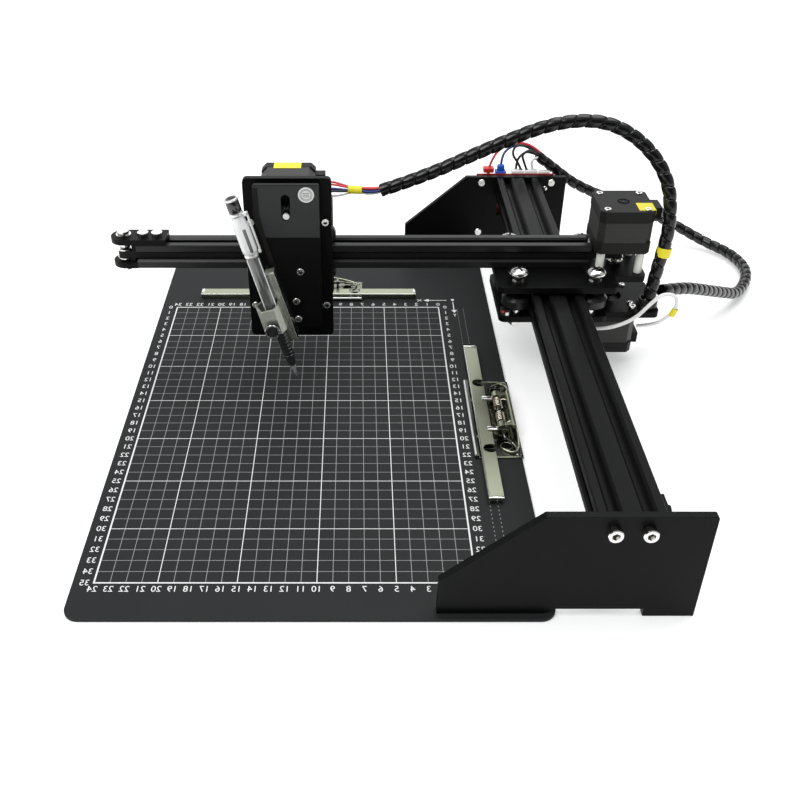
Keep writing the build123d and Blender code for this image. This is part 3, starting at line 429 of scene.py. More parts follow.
# ---------------------------------------------------------------- cords
def route_curve(name, points, radius, material, resolution=12):
    """A smooth open curve through a route given in millimetres."""
    data = bpy.data.curves.new(name, "CURVE")
    data.dimensions = "3D"
    data.bevel_depth = radius * MM
    data.bevel_resolution = 4
    data.use_fill_caps = True
    spline = data.splines.new("NURBS")
    spline.points.add(len(points) - 1)
    for point, place in zip(spline.points, points):
        point.co = (*mm(*place), 1)
    spline.order_u = 3
    spline.use_endpoint_u = True
    spline.resolution_u = resolution
    data.materials.append(material)
    made = bpy.data.objects.new(name, data)
    scene.collection.objects.link(made)
    return made


def smooth_line(points, step):
    """Evenly spaced points, in metres, along the smooth curve of a route."""
    raw = [v.co.copy() for v in evaluated(route_curve("route", points, 0, SLEEVE, 32)).vertices]
    distances = [0.0]
    for before, after in zip(raw, raw[1:]):
        distances.append(distances[-1] + (after - before).length)
    count = round(distances[-1] / (step * MM))
    line = []
    k = 0
    for i in range(count + 1):
        wanted = distances[-1] * i / count
        while k < len(raw) - 2 and distances[k + 1] < wanted:
            k += 1
        share = (wanted - distances[k]) / max(distances[k + 1] - distances[k], 1e-9)
        line.append(raw[k].lerp(raw[k + 1], min(share, 1)))
    return line


WRAP_PITCH = 10.5
WRAP_STEP = 0.6
WRAP_AROUND = 24
WRAP_TURN_SHARE = 0.9


def spiral_wrap(points, radius, hand=1):
    """A tube in a spiral-cut sleeve: crowned turns with a dark gap between them."""
    line = smooth_line(points, WRAP_STEP)
    bm = bmesh.new()
    normal = Vector((0, 0, 1))
    rings = []
    for i, centre in enumerate(line):
        ahead = line[min(i + 1, len(line) - 1)] - line[max(i - 1, 0)]
        tangent = ahead.normalized()
        normal = (normal - tangent * normal.dot(tangent)).normalized()
        side = tangent.cross(normal)
        ring = []
        for k in range(WRAP_AROUND):
            share = k / WRAP_AROUND
            phase = (i * WRAP_STEP / WRAP_PITCH + hand * share) % 1
            if phase > WRAP_TURN_SHARE:
                reach = radius - 1.0
            else:
                reach = radius + 0.35 * math.sin(math.pi * phase / WRAP_TURN_SHARE) - 0.3 * phase
            turn = 2 * math.pi * share
            ring.append(bm.verts.new(centre + (normal * math.cos(turn) + side * math.sin(turn)) * reach * MM))
        rings.append(ring)
    for low, high in zip(rings, rings[1:]):
        for k in range(WRAP_AROUND):
            after = (k + 1) % WRAP_AROUND
            bm.faces.new((low[k], low[after], high[after], high[k]))
    bm.faces.new(rings[0])
    bm.faces.new(rings[-1])
    return from_bmesh(bm), line


def wire(name, body, points, radius, material):
    """A thin wire, finished as a mesh."""
    data = evaluated(route_curve(name, points, radius, material, 8))
    return link_mesh(name, data, material, body)


HEAD_HARNESS = [
    (47.5, 62, 143),
    (78, 61, 153.5),
    (130, 60, 178.5),
    (175, 58, 198.5),
    (213, 55, 202),
    (244, 50, 187),
    (266, 42, 160),
    (271, 34.5, 125),
    (266, 32, 90),
    (263, 30, 60.5),
]
GANTRY_HARNESS = [
    (276, 40, 66),
    (300, 60, 58),
    (326, 84, 43),
    (356, 114, 24),
    (384, 142, 7),
    (408, 186, 6.5),
    (404, 226, 6.5),
    (382, 252, 8),
    (352, 264, 22),
    (312, 266, 39),
    (270, 266, 53),
    (243, 266, 66),
    (225, 265, 80),
    (206, 264, 94),
]
SWITCH_LEAD = [
    (213, 22, 42),
    (226, 17.5, 43),
    (240, 17, 47),
    (252, 16.5, 54.5),
    (260, 16, 66),
    (269, 16.5, 76),
    (281, 17, 74),
    (283, 18, 61),
    (276, 21, 50),
    (268, 24, 43),
    (256, 26, 41),
]
HARNESS_RADIUS = 5.0

sleeve, head_line = spiral_wrap(HEAD_HARNESS, HARNESS_RADIUS)
head_harness = link_mesh("head_harness_wrap", sleeve, SLEEVE)
sleeve, gantry_line = spiral_wrap(GANTRY_HARNESS, HARNESS_RADIUS, -1)
gantry_harness = link_mesh("gantry_harness_wrap", sleeve, SLEEVE)
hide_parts("head_harness")
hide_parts("gantry_harness")
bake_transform(head_harness)
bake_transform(gantry_harness)

switch_lead = route_curve("switch_lead_wire", SWITCH_LEAD, 1.5, WIRE_WHITE)
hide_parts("switch_lead")
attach(switch_lead, "gantry")


# ---------------------------------------------------------------- bare wires on the harnesses
def sleeve_tag(name, body, start, end, radius):
    """A short heat-shrunk label around a bundle."""
    along = mm(*end) - mm(*start)
    length = along.length / MM
    inner = radius - 0.5
    profile = [(inner, 0), (radius, 0.4), (radius + 0.15, length / 2), (radius, length - 0.4), (inner, length)]
    shape = turned(profile, 28)
    return piece(name, body, LABEL, [(shape, facing(*start, along))])


for number, (material, dy, dz, far_dy, far_dz) in enumerate(
    (
        (WIRE_RED, 3.2, 5.5, 1.2, 1.6),
        (WIRE_RED, 0.6, 4.4, -0.6, 1.9),
        (WIRE_BLUE, -1.4, 2.0, -1.6, 0.2),
        (WIRE_BLACK, -3.4, 0.4, -0.5, -0.6),
        (WIRE_BLACK, 1.6, -0.6, 1.5, -0.2),
        (WIRE_WHITE, -2.4, -3.8, 0.2, -2.0),
    ),
    start=1,
):
    route = [
        (3, 66.5 + dy, 141 + dz),
        (9, 66 + dy, 141.5 + dz * 1.1),
        (17, 63.5 + dy * 0.7, 142 + dz * 0.8),
        (25, 62 + far_dy * 0.8, 143.4 + far_dz),
        (31, 62 + far_dy * 0.8, 143 + far_dz),
        (38, 62.2 + far_dy * 1.4, 142.2 + far_dz * 1.3),
        (46, 62 + far_dy, 142.8 + far_dz),
        (54, 62 + far_dy, 145.4 + far_dz),
    ]
    wire(f"head_wire_{number}", "head", route, 0.85, material)
head_tag = sleeve_tag("head_wire_tag", "head", (21.5, 62, 143.8), (32.5, 62, 143.2), 3.1)
harness_tag = sleeve_tag("harness_tag", "gantry", (269.3, 33.2, 108), (268.4, 32.6, 100.5), 5.75)
lead_tag = sleeve_tag("switch_lead_tag", "gantry", (280.2, 18.9, 54.6), (282.2, 18, 61.6), 2.4)

motor_plug = piece(
    "x_motor_plug",
    "gantry",
    PLASTIC_WHITE,
    [
        (rounded_block((261.5, 43.5, 128.6), (267.2, 56.5, 136.4), 0.7), HERE),
        (rounded_block((258.4, 42.2, 131), (264, 57.8, 134.4), 0.5), HERE),
    ],
)
for number, (material, y, z) in enumerate(
    ((WIRE_RED, 53.5, 133.6), (WIRE_BLUE, 51, 133.6), (WIRE_BLACK, 48.5, 133.6), (WIRE_WHITE, 46, 133.6)), start=1
):
    route = [
        (266, y, z),
        (270.5, y, z + 1),
        (273.5, y - 2, z - 2),
        (274, y - 7, z - 7),
        (272, 38, z - 14 - number),
    ]
    wire(f"x_motor_wire_{number}", "gantry", route, 0.7, material)

for number, (material, route) in enumerate(
    (
        (
            WIRE_BLACK,
            [
                (212, 264, 92), (203, 264, 98), (193, 265, 104), (183, 265, 104),
                (181, 264, 95), (187, 263, 88), (191, 262, 80),
            ],
        ),
        (
            WIRE_BLACK,
            [(212, 263, 93), (204, 262, 99), (196, 261, 101), (190, 261, 96), (193, 262, 88), (197, 262, 79)],
        ),
        (
            WIRE_BLACK,
            [(212, 265, 92), (202, 266, 96), (194, 267, 97), (188, 267, 91), (186, 266, 84), (186, 263, 77)],
        ),
        (
            WIRE_RED,
            [(212, 264, 94), (202, 265, 103), (188, 267, 107), (172, 266, 103), (162, 264, 93), (159, 262, 82)],
        ),
        (
            WIRE_BLUE,
            [(212, 265, 94), (200, 267, 102), (184, 268, 104), (174, 267, 98), (171, 264, 90), (170.5, 262, 84)],
        ),
        (
            WIRE_WHITE,
            [(212, 263, 92), (205, 261, 94), (200, 261, 90), (201, 262, 84), (203, 262, 77)],
        ),
    ),
    start=1,
):
    wire(f"board_wire_{number}", "base", route, 1.2, material)


# ---------------------------------------------------------------- mat print
GRID_LEFT = -136.4
GRID_NEAR = -224.4
GRID_COLUMNS = 24
GRID_ROWS = 35
GRID_PITCH = 10
GRID_RIGHT = GRID_LEFT + GRID_COLUMNS * GRID_PITCH
GRID_FAR = GRID_NEAR + GRID_ROWS * GRID_PITCH
BOLD_EVERY = 5
FINE_WIDTH = 0.34
BOLD_WIDTH = 0.55
BORDER = 1.1
DIGIT_SIZE = 7.0
DOT_PITCH = 4.2
DOT_LENGTH = 1.5


def strip(x0, y0, x1, y1, z):
    """A flat rectangle of ink on the mat."""
    bm = bmesh.new()
    bm.faces.new([bm.verts.new(mm(x, y, z)) for x, y in ((x0, y0), (x1, y0), (x1, y1), (x0, y1))])
    return from_bmesh(bm, smooth=False)


def line_along_y(x, width, z):
    return strip(x - width / 2, GRID_NEAR, x + width / 2, GRID_FAR, z)


def line_along_x(y, width, z):
    return strip(GRID_LEFT, y - width / 2, GRID_RIGHT, y + width / 2, z)


fine_lines = []
bold_lines = []
for column in range(GRID_COLUMNS + 1):
    x = GRID_RIGHT - column * GRID_PITCH
    if column % BOLD_EVERY:
        fine_lines.append((line_along_y(x, FINE_WIDTH, 2.03), HERE))
    else:
        bold_lines.append((line_along_y(x, BOLD_WIDTH, 2.05), HERE))
for row_number in range(GRID_ROWS + 1):
    y = GRID_FAR - row_number * GRID_PITCH
    if row_number % BOLD_EVERY:
        fine_lines.append((line_along_x(y, FINE_WIDTH, 2.04), HERE))
    else:
        bold_lines.append((line_along_x(y, BOLD_WIDTH, 2.06), HERE))
for x in (GRID_LEFT, GRID_RIGHT):
    half = BORDER / 2
    bold_lines.append((strip(x - half, GRID_NEAR - half, x + half, GRID_FAR + half, 2.07), HERE))
for y in (GRID_NEAR, GRID_FAR):
    bold_lines.append((strip(GRID_LEFT, y - BORDER / 2, GRID_RIGHT, y + BORDER / 2, 2.08), HERE))

number_cache = {}


def number_mesh(value):
    """A printed number, seen from its back as the whole print is."""
    if value not in number_cache:
        data = bpy.data.curves.new("number", "FONT")
        data.body = str(value)
        data.size = DIGIT_SIZE * MM
        data.offset = 0.02 * MM
        data.align_x = "CENTER"
        data.align_y = "CENTER"
        made = bpy.data.objects.new("number", data)
        scene.collection.objects.link(made)
        number_cache[value] = evaluated(made)
    return number_cache[value]


def printed(value, x, y):
    matrix = Matrix.Translation(mm(x, y, 2.06)) @ Matrix.Diagonal((-0.95, 1, 1, 1))
    return number_mesh(value), matrix


numbers = []
for column in range(GRID_COLUMNS + 1):
    x = GRID_RIGHT - column * GRID_PITCH
    numbers.append(printed(column, x, GRID_NEAR - 5.4))
    numbers.append(printed(column, x, GRID_FAR + 5.2))
for row_number in range(GRID_ROWS + 1):
    y = GRID_FAR - row_number * GRID_PITCH
    numbers.append(printed(row_number, GRID_LEFT - 6, y))
    numbers.append(printed(row_number, GRID_RIGHT + 6, y))

dotted = []
for x in (120.5, 126.1):
    for k in range(84):
        y = -228 + DOT_PITCH * k
        if abs(y + 49) > 49:
            dotted.append((strip(x - 0.22, y, x + 0.22, y + DOT_LENGTH, 2.04), HERE))
for k in range(46):
    x = -110 + DOT_PITCH * k
    dotted.append((strip(x, 143.8, x + DOT_LENGTH, 144.3, 2.04), HERE))

arrow = []
arrow.append((strip(93, 138.2, 112, 139, 2.05), HERE))
arrow.append((flat_shape([(95.5, 141.2), (90.5, 138.6), (95.5, 136)], 0.05), standing(0, 0, 2.03)))
arrow.append((strip(117.2, 118, 118, 136, 2.05), HERE))
arrow.append((flat_shape([(115, 120.5), (117.6, 115.5), (120.2, 120.5)], 0.05), standing(0, 0, 2.03)))
for turn in (math.radians(45), math.radians(-45)):
    arrow.append((strip(-2.6, -0.35, 2.6, 0.35, 0), standing(86.8, 138.6, 2.05, turn=turn)))
for turn in (math.radians(60), math.radians(120)):
    arrow.append((strip(0, -0.35, 2.4, 0.35, 0), standing(117.6, 111.5, 2.05, turn=turn)))
arrow.append((strip(117.2, 109, 118, 111.6, 2.05), HERE))
arrow.append((turned([(0, 0), (1.5, 0), (1.5, 0.05), (0, 0.05)], 24), standing(117.6, 139.5, 2.02)))

piece("mat_fine_lines", "base", PRINT_GREY, fine_lines)
piece("mat_bold_lines", "base", PRINT_WHITE, bold_lines)
piece("mat_numbers", "base", PRINT_WHITE, numbers)
piece("mat_marks", "base", PRINT_GREY, dotted)
piece("mat_arrows", "base", PRINT_WHITE, arrow)


# ---------------------------------------------------------------- end plates and rail
bolts = []
for x in (175, 195):
    for y, direction in ((-250, FRONT), (250, REAR)):
        bolts.append((SOCKET_HEAD, facing(x, y, 69, direction, 4.6)))
        bolts.append((turned([(0, -20), (2.4, -20), (2.4, 0), (0, 0)], 20), facing(x, y, 69, direction)))
made = piece("rail_cap_screws", "base", CHROME, bolts)
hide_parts("rail_bolts")

plate_screws = []
for x in (150.5, 218.5):
    for z in (22, 74):
        plate_screws.append((PHILLIPS_HEAD, facing(x, 245, z, FRONT, 3.6, 0.5)))
plate_screws.append((PHILLIPS_HEAD, facing(213, 245, 68, FRONT, 2.4, 0.2)))
piece("board_screw_heads", "base", CHROME, plate_screws)


# ---------------------------------------------------------------- control board
def board_piece(name, material, blocks):
    return piece(name, "base", material, [(rounded_block(a, b, r), HERE) for a, b, r in blocks])


red_plug = board_piece(
    "board_red_plug",
    PLASTIC_RED,
    [((153.3, 258, 78.5), (163.7, 265.5, 83.3), 0.8), ((157, 259, 76), (160, 264, 79), 0.5)],
)
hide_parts("board_parts")
board_piece(
    "board_blue_plug",
    PLASTIC_BLUE,
    [((165.2, 257.8, 70), (175.8, 265.5, 80), 0.6), ((167, 259, 79.5), (174, 264.5, 85.8), 1.2)],
)
board_piece(
    "board_sockets",
    PLASTIC_WHITE,
    [
        ((181.2, 257.8, 66.2), (193.4, 264.8, 80.6), 0.5),
        ((194.6, 257.8, 66.2), (206.8, 264.8, 80.6), 0.5),
        ((208, 257.8, 70), (219, 263, 80.2), 0.5),
    ],
)
pins = []
for x in (153.2, 212.5):
    for k in range(12):
        pins.append((rounded_block((x, 257.7, 34 + 2.54 * k), (x + 0.7, 264.5, 34.7 + 2.54 * k), 0.15, 1), HERE))
piece("board_pins", "base", CHROME, pins)
driver_blocks = []
fins = []
for x in (160, 178, 196):
    driver_blocks.append(((x, 257.7, 44), (x + 14, 261, 62), 0.4))
    for k in range(5):
        fins.append((rounded_block((x + 2.4 + 2 * k, 261, 48), (x + 3.2 + 2 * k, 266.4, 57), 0.15, 1), HERE))
board_piece("board_drivers", PLASTIC_BLACK, driver_blocks)
piece("board_heat_fins", "base", SILVER, fins)
board_piece(
    "board_jacks",
    PLASTIC_BLACK,
    [((190, 257.7, 28.2), (200, 269.4, 39), 0.7), ((203, 257.7, 46), (209, 261, 60), 0.4)],
)
board_piece("board_usb_shell", SILVER, [((158, 257.7, 28.2), (170, 268.6, 38), 0.5)])


# ---------------------------------------------------------------- file clips
COIL_TURNS = 6
COIL_STEPS = 12
COIL_RADIUS = 2.9


def clip_details(name, body, jaw_body, origin, across, along):
    """Springs, rivets, bright edges and jaw tips of a file clip, and black discs of painted shade on the mat under
    its holes, drawn in its own frame.
    """
    up = Vector((0, 0, 1))
    u = Vector(across)
    v = Vector(along)
    matrix = Matrix((
        (u.x, v.x, up.x, origin[0] * MM),
        (u.y, v.y, up.y, origin[1] * MM),
        (u.z, v.z, up.z, origin[2] * MM),
        (0, 0, 0, 1),
    ))
    coils = []
    for side in (-1, 1):
        turns = []
        for k in range(COIL_TURNS * COIL_STEPS + 1):
            turn = 2 * math.pi * k / COIL_STEPS
            turns.append((
                side * (4 + 0.155 * k),
                13 + COIL_RADIUS * math.cos(turn),
                7.5 + COIL_RADIUS * math.sin(turn),
            ))
        turns.append((side * 15.4, 20, 8.6))
        turns.append((side * 10, 23.5, 8.4))
        coils.append((evaluated(route_curve("coil", turns, 0.5, BRASSY, 2)), matrix))
    piece(f"{name}_springs", body, BRASSY, coils)
    rivets = []
    for place in ((-46, 22), (46, 22), (-24, -5), (24, -5), (0, 4)):
        dome = turned([(0, 0), (2, 0), (1.9, 0.5), (1.2, 0.95), (0, 1.1)], 24)
        rivets.append((dome, matrix @ standing(*place, 1)))
    roll = [(-49, -8.9, 2.5), (-20, -9, 2.6), (20, -9, 2.6), (49, -8.9, 2.5)]
    rolled = evaluated(route_curve("roll", roll, 1.0, NICKEL))
    piece(f"{name}_front_roll", body, SATIN, [(rolled, matrix)])
    edges = []
    outline = [(-49.5, -7, 1), (-49.5, 22, 1), (-47, 25.5, 1), (47, 25.5, 1), (49.5, 22, 1), (49.5, -7, 1)]
    edges.append((evaluated(route_curve("outline", outline, 0.45, NICKEL_PALE)), matrix))
    for u in (-36, 36):
        hoop = [(u + 4.4 * math.cos(math.pi * k / 8), 15 + 4.4 * math.sin(math.pi * k / 8), 1.1) for k in range(17)]
        edges.append((evaluated(route_curve("hoop", hoop, 0.3, NICKEL_PALE, 3)), matrix))
    for side in (-1, 1):
        arm = [
            (side * 17, 20, 8.4),
            (side * 20, 24, 7.6),
            (side * 30, 24.2, 5),
            (side * 43, 23, 2.4),
            (side * 46, 17, 2.2),
            (side * 41, 12, 2.4),
        ]
        edges.append((evaluated(route_curve("arm", arm, 0.7, NICKEL_PALE, 6)), matrix))
    piece(f"{name}_bright_edges", body, NICKEL_PALE, edges)
    for side in (-1, 1):
        loop = [
            (side * 29, 13, 7.5),
            (side * 33, 13, 7.5),
            (side * 34, 15.5, 5.5),
            (side * 34, 20, 2.6),
            (side * 41, 22, 2.2),
        ]
        rivets.append((evaluated(route_curve("loop", loop, 0.9, NICKEL)), matrix))
    piece(f"{name}_fittings", body, NICKEL, rivets)
    tips = []
    for side in (-1, 1):
        tips.append((rounded_block((side * 98.6 - 1.3, -5.5, 2), (side * 98.6 + 1.3, 5.5, 5.3), 0.5), matrix))
        tips.append((rounded_block((side * 20 - 2.2, 2, 4.7), (side * 20 + 2.2, 12, 6.4), 0.5), matrix))
    bead = [(-99, -4.9, 4.6), (-40, -4.9, 4.75), (40, -4.9, 4.75), (99, -4.9, 4.6)]
    tips.append((evaluated(route_curve("bead", bead, 0.55, NICKEL)), matrix))
    piece(f"{name}_jaw_tips", jaw_body, CHROME, tips)
    # Black discs on the mat under the clip's holes are painted shade.
    hole_shades = []
    for spot in ((-43, 2), (43, 2), (-36, 15), (36, 15)):
        hole_shades.append((turned([(0, 0), (4.4, 0), (4.4, 0.06), (0, 0.06)], 32), matrix @ standing(*spot, 0.02)))
    piece(f"{name}_holes", body, SHADE_AND_CARD_BLACK, hole_shades)


clip_details("side_clip", "base", "side_clip_jaw", (125, -49, 2), (0, -1, 0), (1, 0, 0))
clip_details("far_clip", "base", "far_clip_jaw", (-16.4, 147, 2), (1, 0, 0), (0, 1, 0))


# ---------------------------------------------------------------- gantry hardware
MOTOR_SCREWS = (-15.5, 15.5)
X_AXIS = (236, 50)
Y_AXIS = (235, 50)
Z_AXIS = (-24.5, 140)
STACKS = [(x, y) for x in (155, 215) for y in (20, 80)]
STACK_HEAD_Z = 92.2
STACK_HEAD_RADIUS = 7.8
hardware = []
recess_shades = []
# Black crosses in the floors of the Phillips recesses are painted shade.
recess_shade = joined([
    (rounded_block((-0.44, -0.1, 0.3), (0.44, 0.1, 0.58), 0.02, 1), HERE),
    (rounded_block((-0.1, -0.44, 0.3), (0.1, 0.44, 0.58), 0.02, 1), HERE),
])
for number, (x, y) in enumerate(STACKS):
    hardware.append((turned([(0, 46), (2.4, 46), (2.4, 93), (0, 93)], 24), standing(x, y, 0)))
    hardware.append((turned([(0, 89), (4.1, 89), (4.1, STACK_HEAD_Z), (0, STACK_HEAD_Z)], 32), standing(x, y, 0)))
    hardware.append((turned([(0, 47), (4, 47), (4.5, 47.6), (4.5, 52), (0, 52)], 6), standing(x, y, 0)))
    hardware.append((HEX_NUT, standing(x, y, 86, 4.6)))
    hardware.append((turned([(2.4, 86), (5.4, 86), (5.4, 86.7), (2.4, 86.7), (2.4, 86)], 32), standing(x, y, 0)))
    head_place = standing(x, y, STACK_HEAD_Z, STACK_HEAD_RADIUS, 0.35 + 0.9 * number)
    hardware.append((PHILLIPS_HEAD, head_place))
    recess_shades.append((recess_shade, head_place))
for y in (40.5, 59.5):
    hardware.append((turned([(0, 52), (2.4, 52), (2.4, 86), (0, 86)], 20), standing(212, y, 0)))
for x in (144, 158):
    hardware.append((SOCKET_HEAD, facing(x, 50, 81, DOWN, 3.9)))
for (centre_x, centre_y), z, direction in ((X_AXIS, 81, DOWN), (Y_AXIS, 57, UP)):
    for dx in MOTOR_SCREWS:
        for dy in MOTOR_SCREWS:
            hardware.append((BUTTON_HEAD, facing(centre_x + dx, centre_y + dy, z, direction, 2.8)))
hardware.append((SOCKET_HEAD, standing(250, 26, 57, 2.8)))
piece("gantry_screw_recess_shades", "gantry", SHADE_AND_CARD_BLACK, recess_shades)
made = piece("gantry_fasteners", "gantry", CHROME, hardware)
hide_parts("gantry_bolts")


# ---------------------------------------------------------------- motors
def motor_face(name, body, centre, direction):
    """Sunk cap screws and a ring of small vents on the closed end of a motor; the vents and a ring around the centre
    are black marks of painted shade.
    """
    across = Vector((0, 0, 1)) if abs(direction[2]) < 0.5 else Vector((0, 1, 0))
    side = Vector(direction).cross(across)
    caps = []
    vent_shades = []
    for i in MOTOR_SCREWS:
        for j in MOTOR_SCREWS:
            spot = Vector(centre) + side * i + across * j
            spot -= Vector(direction) * 2.1
            caps.append((SOCKET_HEAD, facing(*spot, direction, 2.7)))
    ring = turned([(3.6, 0), (4.6, 0), (4.6, 0.25), (3.6, 0.25), (3.6, 0)], 36)
    vent_shades.append((ring, facing(*centre, direction)))
    for k in range(6):
        turn = math.pi * k / 3
        spot = Vector(centre) + (side * math.cos(turn) + across * math.sin(turn)) * 2.2
        vent_shades.append((turned([(0, 0), (0.6, 0), (0.6, 0.12), (0, 0.12)], 12), facing(*spot, direction)))
    piece(f"{name}_caps", body, CHROME, caps)
    piece(f"{name}_vent_shade", body, SHADE_AND_CARD_BLACK, vent_shades)


motor_face("x_motor", "gantry", (*X_AXIS, 139), UP)
motor_face("y_motor", "gantry", (*Y_AXIS, 14), DOWN)
motor_face("z_motor", "head", (Z_AXIS[0], 74, Z_AXIS[1]), REAR)


STACK_HALF = 20.98
STACK_CUT = 4.7


def stack_band(name, body, centre, direction, low, high):
    """The laminated middle of a motor, a hair proud of the plain one."""
    half = STACK_HALF
    cut = STACK_CUT
    outline = []
    for sx, sy in ((1, 1), (-1, 1), (-1, -1), (1, -1)):
        first = (sx * half, sy * (half - cut))
        second = (sx * (half - cut), sy * half)
        outline += [first, second] if sx * sy > 0 else [second, first]
    matrix = facing(*centre, direction) @ standing(0, 0, low)
    piece(name, body, STACK, [(flat_shape(outline, high - low), matrix)])


stack_band("x_motor_stack", "gantry", (*X_AXIS, 104), UP, 9.2, 25.8)
stack_band("y_motor_stack", "gantry", (*Y_AXIS, 52), DOWN, 9.2, 28.8)
stack_band("z_motor_stack", "head", (Z_AXIS[0], 36, Z_AXIS[1]), REAR, 9.2, 28.8)

labels = [
    (rounded_block((244.5, 32.5, 138.8), (256.9, 46.5, 139.25), 0.15, 1), HERE),
    (rounded_block((256.7, 32.5, 135.5), (257.35, 46.5, 139.25), 0.15, 1), HERE),
]
piece("x_motor_label", "gantry", LABEL, labels)
labels = [(rounded_block((-36, 62, 160.95), (-14.6, 73.2, 161.4), 0.15, 1), HERE)]
piece("z_motor_label", "head", LABEL, labels)

collar = [(2.6, -1.6), (6.3, -1.6), (6.6, -1.2), (6.6, 1.2), (6.3, 1.6), (2.6, 1.6), (2.6, -1.6)]
collars = [(turned(collar, 36), standing(*X_AXIS, z)) for z in (88.5, 100.9)]
piece("x_pulley_collar", "x_pulley", CHROME, collars)


# ---------------------------------------------------------------- gantry front details
switch_parts = [(rounded_block((143, 13.6, 57), (150, 19.6, 62.8), 0.4), HERE)]
made = piece("limit_switch_case", "gantry", PLASTIC_BLACK, switch_parts)
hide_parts("limit_switch")
lever = rounded_block((145.5, 13, 58), (149, 13.5, 61), 0.2)
piece("limit_switch_lever", "gantry", CHROME, [(lever, HERE)])
stem = rounded_block((143, 13.1, 60.4), (145.3, 13.8, 62.4), 0.2)
piece("limit_switch_stem", "gantry", PLASTIC_RED, [(stem, HERE)])

grip = [
    (turned([(6.2, 0), (7.4, 0), (7.6, 0.6), (7.6, 7.4), (7.2, 8), (6.2, 8), (6.2, 0)], 40), standing(263, 30, 57)),
    (rounded_block((256, 22.8, 57), (259.5, 37.2, 60), 0.6), HERE),
]
made = piece("cable_clamp_ring", "gantry", PLASTIC_BLACK, grip)
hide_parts("cable_clamp")


# ---------------------------------------------------------------- head
head_hardware = []
for x in (-52.5, 4.5):
    for z in (59, 131):
        head_hardware.append((SOCKET_HEAD, facing(x, 31, z, FRONT, 2.9)))
        head_hardware.append((BUTTON_HEAD, facing(x, 69, z, REAR, 3.0)))
    for z in (80, 112):
        head_hardware.append((turned([(0, 0), (2.4, 0), (2.4, 37), (0, 37)], 20), facing(x, 32, z, REAR)))
        head_hardware.append((HEX_NUT, facing(x, 69, z, REAR, 4.4)))
for dx in MOTOR_SCREWS:
    for dz in MOTOR_SCREWS:
        head_hardware.append((BUTTON_HEAD, facing(Z_AXIS[0] + dx, 31, Z_AXIS[1] + dz, FRONT, 2.6)))
made = piece("head_fasteners", "head", CHROME, head_hardware)
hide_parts("head_screws")


# ---------------------------------------------------------------- lift plate
def front_plate(outline, front, thick):
    """A plate facing the operator, from an outline in x and z."""
    data = flat_shape(outline, thick)
    turn = Matrix(((1, 0, 0, 0), (0, 0, 1, front * MM), (0, 1, 0, 0), (0, 0, 0, 1)))
    return data, turn


upper = [(0.6, 164.6), (-48.6, 164.6), (-48.6, 140), (-44.1, 123), (0.6, 123)]
SLOT_RADIUS = 3.35
SLOT_TOP = 154.2
stadium = []
for start, centre_z in ((0, SLOT_TOP), (math.pi, Z_AXIS[1])):
    for k in range(33):
        turn = start + math.pi * k / 32
        stadium.append((SLOT_RADIUS * math.cos(turn) + Z_AXIS[0], centre_z + SLOT_RADIUS * math.sin(turn)))
slot_plate, slot_turn = front_plate(stadium, 16, 8)
slot_plate.transform(slot_turn)
slot_plate.flip_normals()
face_data, face_turn = front_plate(upper, 18.75, 0.3)
face_data.transform(face_turn)
face_data.flip_normals()
# The upper face is painted lighter grey for the reflection it shows; the plate itself is black.
piece("lift_upper_face", "lifter", PLATE_PAINTED_REFLECTION, [(cut_by(face_data, slot_plate), HERE)])

flange = [
    (-49, 163), (-49, 140), (-36, 91), (-30.6, 71), (-27.6, 71), (-31.4, 89), (-42, 128), (-45, 142), (-45, 163)
]
data, turn = front_plate(flange, 18.2, 0.8)
piece("lift_flange", "lifter", PLATE_BROWN, [(data, turn)])
STICKER_X = -9
STICKER_Z = 157.5
sticker = turned([(0, 0), (6, 0), (6, 0.15), (0, 0.15)], 48)
piece("lift_sticker", "lifter", STICKER, [(sticker, facing(STICKER_X, 18.72, STICKER_Z, FRONT))])
ring_marks = []
for inner in (3.6, 4.4):
    outer = inner + 0.25
    ring = turned([(inner, 0), (outer, 0), (outer, 0.05), (inner, 0.05), (inner, 0)], 48)
    ring_marks.append((ring, facing(STICKER_X, 18.56, STICKER_Z, FRONT)))
for k in range(3):
    ring_marks.append((rounded_block((-11.4, 18.5, 155.9 + 1.4 * k), (-6.6, 18.56, 156.3 + 1.4 * k), 0.02, 1), HERE))
piece("lift_sticker_marks", "lifter", PLATE_BROWN, ring_marks)
lift_hardware = [(SOCKET_HEAD, facing(x, 19, z, FRONT, 2.9)) for x, z in ((-15, 95), (-19, 69), (-17.9, 53))]
made = piece("lift_fasteners", "lifter", CHROME, lift_hardware)
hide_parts("lift_screws")
shaft_end = turned([(0, 0), (2.3, 0), (2.5, 0.3), (2.5, 1.2), (0, 1.2)], 28)
piece("motor_shaft_tip", "z_pinion", SATIN, [(shaft_end, facing(Z_AXIS[0], 20.4, Z_AXIS[1], FRONT))])
# A black disc on the lift plate is painted shade in a hole.
hole_shade_disc = turned([(0, 0), (1.3, 0), (1.3, 0.05), (0, 0.05)], 24)
piece("lift_hole_shade", "lifter", SHADE_AND_CARD_BLACK, [(hole_shade_disc, facing(-30, 18.96, 87, FRONT))])


# ---------------------------------------------------------------- pen and holder
PEN_TIP = Vector((-20, 0, 10))
pen_axis = (Vector((-62.5, 0, 163)) - PEN_TIP).normalized()
pen_side = Vector((0, 1, 0)).cross(pen_axis)
pen_back = pen_axis.cross(pen_side)
PEN_FRAME = Matrix((
    (pen_side.x, pen_back.x, pen_axis.x, PEN_TIP.x * MM),
    (pen_side.y, pen_back.y, pen_axis.y, PEN_TIP.y * MM),
    (pen_side.z, pen_back.z, pen_axis.z, PEN_TIP.z * MM),
    (0, 0, 0, 1),
))


def pen_part(name, material, profiles, body="lifter"):
    return piece(name, body, material, [(turned(p, 44), PEN_FRAME) for p in profiles])


